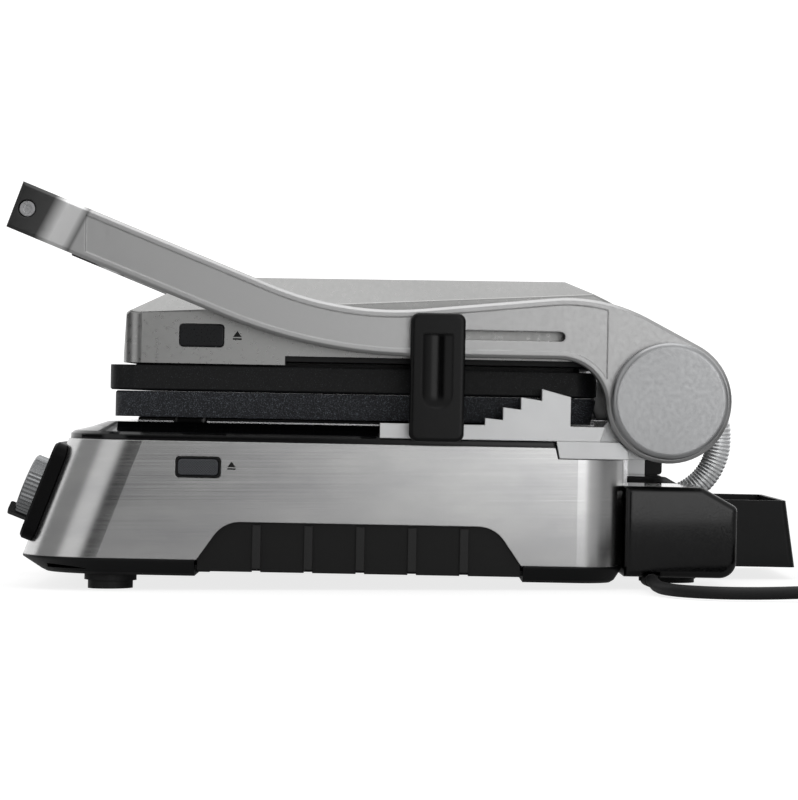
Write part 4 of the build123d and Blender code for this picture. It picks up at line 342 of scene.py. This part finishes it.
# Each slot's material, by the name that the record gives the slot
looks = {
    "stainless": stainless(),
    "lid_metal": satin("lid_metal", (0.375, 0.375, 0.37), 0.3, (60, 400, 400), edge=0.0001, strength=0.004),
    "arm_metal": satin("arm_metal", (0.42, 0.424, 0.43), 0.35, 500, edge=0.0009, strength=0.03),
    "cast_grey": cast("cast_grey", (0.7, 0.705, 0.71), 0.34),
    "nonstick": nonstick("nonstick", (0.003, 0.0033, 0.0038), (0.04, 0.045, 0.05), 0.62),
    "gloss_black": plastic(
        "gloss_black", (0.0012, 0.0012, 0.0014), 0.07, grain=0.004, edge=0.0016, coat=0.1, shine=0.3
    ),
    "matte_black": plastic("matte_black", (0.003, 0.0032, 0.0035), 0.4),
    "knob_metal": satin("knob_metal", (0.27, 0.275, 0.28), 0.28, 900, edge=0.0003, strength=0.2),
    "zinc_steel": satin("zinc_steel", (0.5, 0.5, 0.51), 0.3, 900, edge=0.0003),
    "hose_metal": bright_hose("hose_metal"),
    "bright_sheet": satin("bright_sheet", (0.72, 0.72, 0.73), 0.25, 300, edge=0.0004),
    "rubber_black": plastic("rubber_black", (0.008, 0.008, 0.0084), 0.55, grain=0.08, shine=0.35),
    "plug_plastic": plastic("plug_plastic", (0.005, 0.005, 0.0053), 0.42),
    "pin_metal": satin("pin_metal", (0.72, 0.68, 0.56), 0.22, 600, edge=0.0003),
    "lens_red": lens("lens_red"),
    "board_green": plastic("board_green", (0.02, 0.13, 0.05), 0.4),
    "switch_body": plastic("switch_body", (0.05, 0.05, 0.055), 0.5),
}
# Nodes that don't wear their slot's material
special = {
    "base_button": hatched("hatched_button"),
    "lid_button": plastic("smooth_button", (0.006, 0.0065, 0.008), 0.3),
    "lower_plate": nonstick("nonstick_lower", (0.017, 0.018, 0.021), (0.14, 0.155, 0.18), 0.57),
    "height_slider": plastic(
        "slider_black", (0.0015, 0.0015, 0.0017), 0.16, grain=0.008, edge=0.0014, shine=0.2
    ),
    "lid_skirt": plastic("skirt_black", (0.003, 0.003, 0.0033), 0.4),
    # The arms wear a painted reflection and a painted shade line at their handle ends
    "arm_right": arm_metal("arm_right_metal", nodes["arm_right"]),
    "arm_left": arm_metal("arm_left_metal", nodes["arm_left"]),
    "vent_panels": ribbed_panel("vent_black", nodes["vent_panels"]),
    "control_bezel": plastic("bezel_black", (0.002, 0.002, 0.0022), 0.4, grain=0.01, shine=0.1),
}


for name, obj in nodes.items():
    obj.data.materials.clear()
    obj.data.materials.append(special.get(name, looks[slot_of[name]]))


# Mesh helpers
def mesh_object(name, verts, faces, body, slot, smooth=False):
    """A piece of the scene's own, which rides on a body and wears its slot's material."""
    mesh = bpy.data.meshes.new(name)
    mesh.from_pydata([tuple(v) for v in verts], [], faces)
    mesh.validate()
    mesh.update()
    for poly in mesh.polygons:
        poly.use_smooth = smooth
    obj = bpy.data.objects.new(name, mesh)
    bpy.context.scene.collection.objects.link(obj)
    mesh.materials.append(looks[slot])
    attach(obj, body)
    return obj


def tube(points, radius, sides):
    """A round tube of quads through the points, closed at both ends."""
    points = [Vector(p) for p in points]
    verts, faces = [], []
    side = None
    for i, p in enumerate(points):
        way = (points[min(i + 1, len(points) - 1)] - points[max(i - 1, 0)]).normalized()
        if side is None:
            side = way.orthogonal().normalized()
        side = (side - way * side.dot(way)).normalized()
        other = way.cross(side)
        for k in range(sides):
            turn = 2 * math.pi * k / sides
            verts.append(p + side * (radius * math.cos(turn)) + other * (radius * math.sin(turn)))
    for i in range(len(points) - 1):
        for k in range(sides):
            a, b = i * sides + k, i * sides + (k + 1) % sides
            faces.append((a, b, b + sides, a + sides))
    faces.append(tuple(range(sides))[::-1])
    faces.append(tuple(range(len(verts) - sides, len(verts))))
    return verts, faces


# Mains cord, in millimetres apart from its whole length
CORD_R = 2.9
CORD_EXIT = (153.0, 114.638, 4.0)
CORD_ROUTE = [
    (167.0, 114.638, 4.0),
    (187.0, 114.238, 3.5),
    (207.0, 115.538, 3.3),
    (227.0, 122.538, 3.2),
    (242.5, 138.038, 3.2),
    (249.6, 158.538, 3.4),
    (251.0, 181.038, 4.2),
]
COIL_MIDDLE = (213.8, 230.038)
COIL_LOW_Z = 4.2
COIL_LAYER = 6.6
COIL_OUTER_R = 37.2
COIL_PITCH = 7.2
COIL_SPIRAL = 1.75
COIL_CLIMB = 0.5
COIL_TURNS = 4.25
COIL_STEPS = 20  # control points in a turn
COIL_LEAD = 5.8


def coil_place(turns):
    """A place on the coil: it spirals in, climbs a layer in half a turn and spirals out."""
    inner = COIL_OUTER_R - COIL_PITCH * COIL_SPIRAL
    share = min(max((turns - COIL_SPIRAL) / COIL_CLIMB, 0.0), 1.0)
    radius = COIL_OUTER_R - COIL_PITCH * turns if turns < COIL_SPIRAL else inner
    radius += COIL_PITCH * max(turns - COIL_SPIRAL - COIL_CLIMB, 0.0)
    turn = 2 * math.pi * turns
    z = COIL_LOW_Z + COIL_LAYER * share * share * (3 - 2 * share)
    return (COIL_MIDDLE[0] + radius * math.cos(turn), COIL_MIDDLE[1] + radius * math.sin(turn), z)


def mains_cord():
    """The cord from its boot to the plug, with its put-away length in the coil."""
    first, last = coil_place(0), coil_place(COIL_TURNS)
    points = [CORD_EXIT, *CORD_ROUTE, (first[0], first[1] - COIL_LEAD, first[2])]
    points += [coil_place(i / COIL_STEPS) for i in range(round(COIL_TURNS * COIL_STEPS) + 1)]
    points.append((last[0] - COIL_LEAD, last[1], last[2]))
    curve = bpy.data.curves.new("mains_cord", "CURVE")
    curve.dimensions = "3D"
    curve.bevel_depth = CORD_R * MM
    curve.bevel_resolution = 5
    curve.use_fill_caps = True
    spline = curve.splines.new("NURBS")
    spline.points.add(len(points) - 1)
    for control, place in zip(spline.points, points):
        control.co = (*(c * MM for c in place), 1.0)
    spline.order_u = 3
    spline.use_endpoint_u = True
    spline.use_smooth = True
    curve.materials.append(looks["rubber_black"])
    obj = bpy.data.objects.new("mains_cord", curve)
    bpy.context.scene.collection.objects.link(obj)
    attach(obj, "base")
    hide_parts("cord_run", "cord_coil")


mains_cord()


# Release signs beside the buttons, in metres
LEAN = math.radians(1.1)  # how far the grill leans back
SIGN_TALL = 0.12 * MM  # from the sunk back to the face
SIGN_SUNK = 0.02 * MM
ARROW_FOOT = -0.18  # heights on a sign, as shares of its size
BAR_TOP = -0.32
LID_SIGN_PLACE = (-76.3 * MM + CAMERA_Y, 119.7 * MM)
LID_SIGN_SIZE = 4.2 * MM
BASE_SIGN_PLACE = (-78.6 * MM + CAMERA_Y, 58.4 * MM)
BASE_SIGN_SIZE = 3.8 * MM


def lean(y, z):
    """A place or a step on the level grill, as it is once the grill leans back."""
    return y * math.cos(LEAN) + z * math.sin(LEAN), z * math.cos(LEAN) - y * math.sin(LEAN)


def sign(name, node, place, size, body):
    """A raised arrowhead over a bar, on a node's side wall that faces +X."""
    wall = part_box(node)[1][0]
    y, z = place
    half = size / 2
    outlines = [
        [(-half, ARROW_FOOT * size), (half, ARROW_FOOT * size), (0, half)],
        [(-half, -half), (half, -half), (half, BAR_TOP * size), (-half, BAR_TOP * size)],
    ]
    verts, faces = [], []
    for points in outlines:
        base = len(verts)
        for x in (wall - SIGN_SUNK, wall - SIGN_SUNK + SIGN_TALL):
            for along, up in (lean(*point) for point in points):
                verts.append((x, y + along, z + up))
        n = len(points)
        faces.append(tuple(base + n + i for i in range(n)))
        faces.append(tuple(base + i for i in reversed(range(n))))
        for i in range(n):
            j = (i + 1) % n
            faces.append((base + i, base + j, base + n + j, base + n + i))
    mesh_object(name, verts, faces, body, "matte_black")


sign("lid_sign", "lid_housing", LID_SIGN_PLACE, LID_SIGN_SIZE, "lid")
sign("base_sign", "base_shell", BASE_SIGN_PLACE, BASE_SIGN_SIZE, "base")


# Seal between the top frame and the lower plate, in millimetres of the level grill
SEAL_HALF = 131.0
SEAL_FRONT = -126.0
SEAL_REAR = 81.0
SEAL_LOW = 77.45
SEAL_HIGH = 78.95
SEAL_WIDE = 2.4
SEAL_BEVEL = 0.4


def plate_seal():
    """A thin black ring round the heater's well, which hides the gap there and touches neither side."""
    section = [
        (0.0, SEAL_LOW),
        (0.0, SEAL_HIGH - SEAL_BEVEL),
        (SEAL_BEVEL, SEAL_HIGH),
        (SEAL_WIDE - SEAL_BEVEL, SEAL_HIGH),
        (SEAL_WIDE, SEAL_HIGH - SEAL_BEVEL),
        (SEAL_WIDE, SEAL_LOW),
    ]
    verts, faces = [], []
    for inset, level in section:
        half, front, rear = SEAL_HALF - inset, SEAL_FRONT + inset, SEAL_REAR - inset
        for x, along in ((-half, front), (half, front), (half, rear), (-half, rear)):
            y, z = lean(along, level)
            verts.append((x * MM, y * MM + CAMERA_Y, z * MM))
    for i in range(len(section)):
        after = (i + 1) % len(section)
        for k in range(4):
            n = (k + 1) % 4
            faces.append((4 * i + k, 4 * i + n, 4 * after + n, 4 * after + k))
    mesh_object("plate_seal", verts, faces, "base", "matte_black")


plate_seal()


# Return springs, in metres
WIRE_R = 0.28 * MM
WIRE_SIDES = 8
SPRING_TURNS = 7
SPRING_STEPS = 24  # points in a turn


def coil_spring(name, node, body):
    """A wound wire in place of the plain sleeve."""
    low, high = (Vector(c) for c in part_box(node))
    middle = (low + high) / 2
    radius = (high.z - low.z) / 2 - WIRE_R
    length = high.x - low.x - 2 * WIRE_R
    last = SPRING_TURNS * SPRING_STEPS
    points = []
    for i in range(last + 1):
        turn = 2 * math.pi * i / SPRING_STEPS
        x = low.x + WIRE_R + length * i / last
        points.append((x, middle.y + radius * math.cos(turn), middle.z + radius * math.sin(turn)))
    verts, faces = tube(points, WIRE_R, WIRE_SIDES)
    obj = mesh_object(name, verts, faces, body, "zinc_steel", smooth=True)
    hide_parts(node)
    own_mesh(obj)


coil_spring("lid_spring_wire", "lid_button_spring", "lid")
coil_spring("base_spring_wire", "base_button_spring", "base")


# Stage
STAGE_TONE = (0.3, 0.3, 0.3)
STAGE_FAR = -6
STAGE_SIDE = 6
FLOOR_Z = -0.0003
FLOOR_NEAR = 1.05  # it ends here, or the steel side would mirror it
BACK_X = -2.4
BACK_LOW = -0.001
BACK_HIGH = 4


def flat_look(name, seen, mirrored):
    """A white stage surface. Its glow in the picture differs from its glow in what the object mirrors."""
    look = Look(name)
    look.mottle(3, STAGE_TONE, STAGE_TONE, 1.0)
    camera_ray = look.add("ShaderNodeLightPath").outputs["Is Camera Ray"]
    look.set(roughness=0.9, specular_ior_level=0.0, emission_color=(1.0, 1.0, 1.0))
    look.set(emission_strength=look.range(camera_ray, mirrored, seen, 0.0, 1.0))
    return look.mat


def stage_plane(name, corners, mat):
    mesh = bpy.data.meshes.new(name)
    mesh.from_pydata(corners, [], [(0, 1, 2, 3)])
    mesh.update()
    mesh.materials.append(mat)
    obj = bpy.data.objects.new(name, mesh)
    bpy.context.scene.collection.objects.link(obj)


floor = [
    (STAGE_FAR, -STAGE_SIDE, FLOOR_Z),
    (FLOOR_NEAR, -STAGE_SIDE, FLOOR_Z),
    (FLOOR_NEAR, STAGE_SIDE, FLOOR_Z),
    (STAGE_FAR, STAGE_SIDE, FLOOR_Z),
]
backdrop = [
    (BACK_X, -STAGE_SIDE, BACK_LOW),
    (BACK_X, STAGE_SIDE, BACK_LOW),
    (BACK_X, STAGE_SIDE, BACK_HIGH),
    (BACK_X, -STAGE_SIDE, BACK_HIGH),
]
stage_plane("floor", floor, flat_look("floor_white", 0.8, 0.12))
stage_plane("backdrop", backdrop, flat_look("backdrop_white", 1.0, 0.9))


# Light
# Each wall of the studio has its degrees from +X towards -Y and its brightness
WALLS = [
    (-180, 0.9), (-130, 0.9), (-115, 0.12), (-70, 0.12), (-50, 0.6), (-30, 0.9),
    (-22, 2.2), (-3, 2.2), (-1, 1.0), (1.5, 0.06), (12, 0.03), (27, 0.03),
    (34, 0.9), (62, 0.9), (70, 0.03), (112, 0.02), (125, 0.85), (180, 0.9),
]
CEILING = (0.7, 0.7, 0.7)
CEILING_FADE = [(0.12, 0.0), (0.55, 1.0)]  # heights at which the walls fade into the ceiling
LAMP_PLACE = (0.2, 0.0, 1.8)
LAMP_SIZE = (1.6, 1.6)
LAMP_POWER = 9


def studio():
    """Soft bright and dark walls all round for the object, and plain white for the camera."""
    world = bpy.data.worlds.new("studio")
    bpy.context.scene.world = world
    world.use_nodes = True
    sky = Nodes(world.node_tree)
    sky.tree.nodes.clear()
    way = sky.add("ShaderNodeSeparateXYZ")
    sky.link(sky.add("ShaderNodeTexCoord").outputs["Generated"], way.inputs["Vector"])
    angle = sky.math("ARCTAN2", sky.math("MULTIPLY", way.outputs["Y"], -1.0), way.outputs["X"])
    around = sky.range(angle, 0.0, 1.0, -math.pi, math.pi)
    walls = sky.ramp(around, [((degrees + 180) / 360, value) for degrees, value in WALLS])
    fade = sky.ramp(way.outputs["Z"], CEILING_FADE)
    mirrored = sky.add("ShaderNodeBackground")
    sky.link(sky.mix(fade, walls, CEILING), mirrored.inputs["Color"])
    white = sky.add("ShaderNodeBackground")
    white.inputs["Color"].default_value = (1, 1, 1, 1)
    either = sky.add("ShaderNodeMixShader")
    sky.link(sky.add("ShaderNodeLightPath").outputs["Is Camera Ray"], either.inputs["Fac"])
    sky.link(mirrored.outputs["Background"], either.inputs[1])
    sky.link(white.outputs["Background"], either.inputs[2])
    sky.link(either.outputs["Shader"], sky.add("ShaderNodeOutputWorld").inputs["Surface"])


def overhead_lamp():
    data = bpy.data.lights.new("overhead", "AREA")
    data.shape = "RECTANGLE"
    data.size, data.size_y = LAMP_SIZE
    data.energy = LAMP_POWER
    obj = bpy.data.objects.new("overhead", data)
    obj.location = LAMP_PLACE
    obj.rotation_euler = (-Vector(LAMP_PLACE)).to_track_quat("-Z", "Y").to_euler()
    bpy.context.scene.collection.objects.link(obj)


studio()
overhead_lamp()
bpy.context.scene.view_settings.view_transform = "Standard"
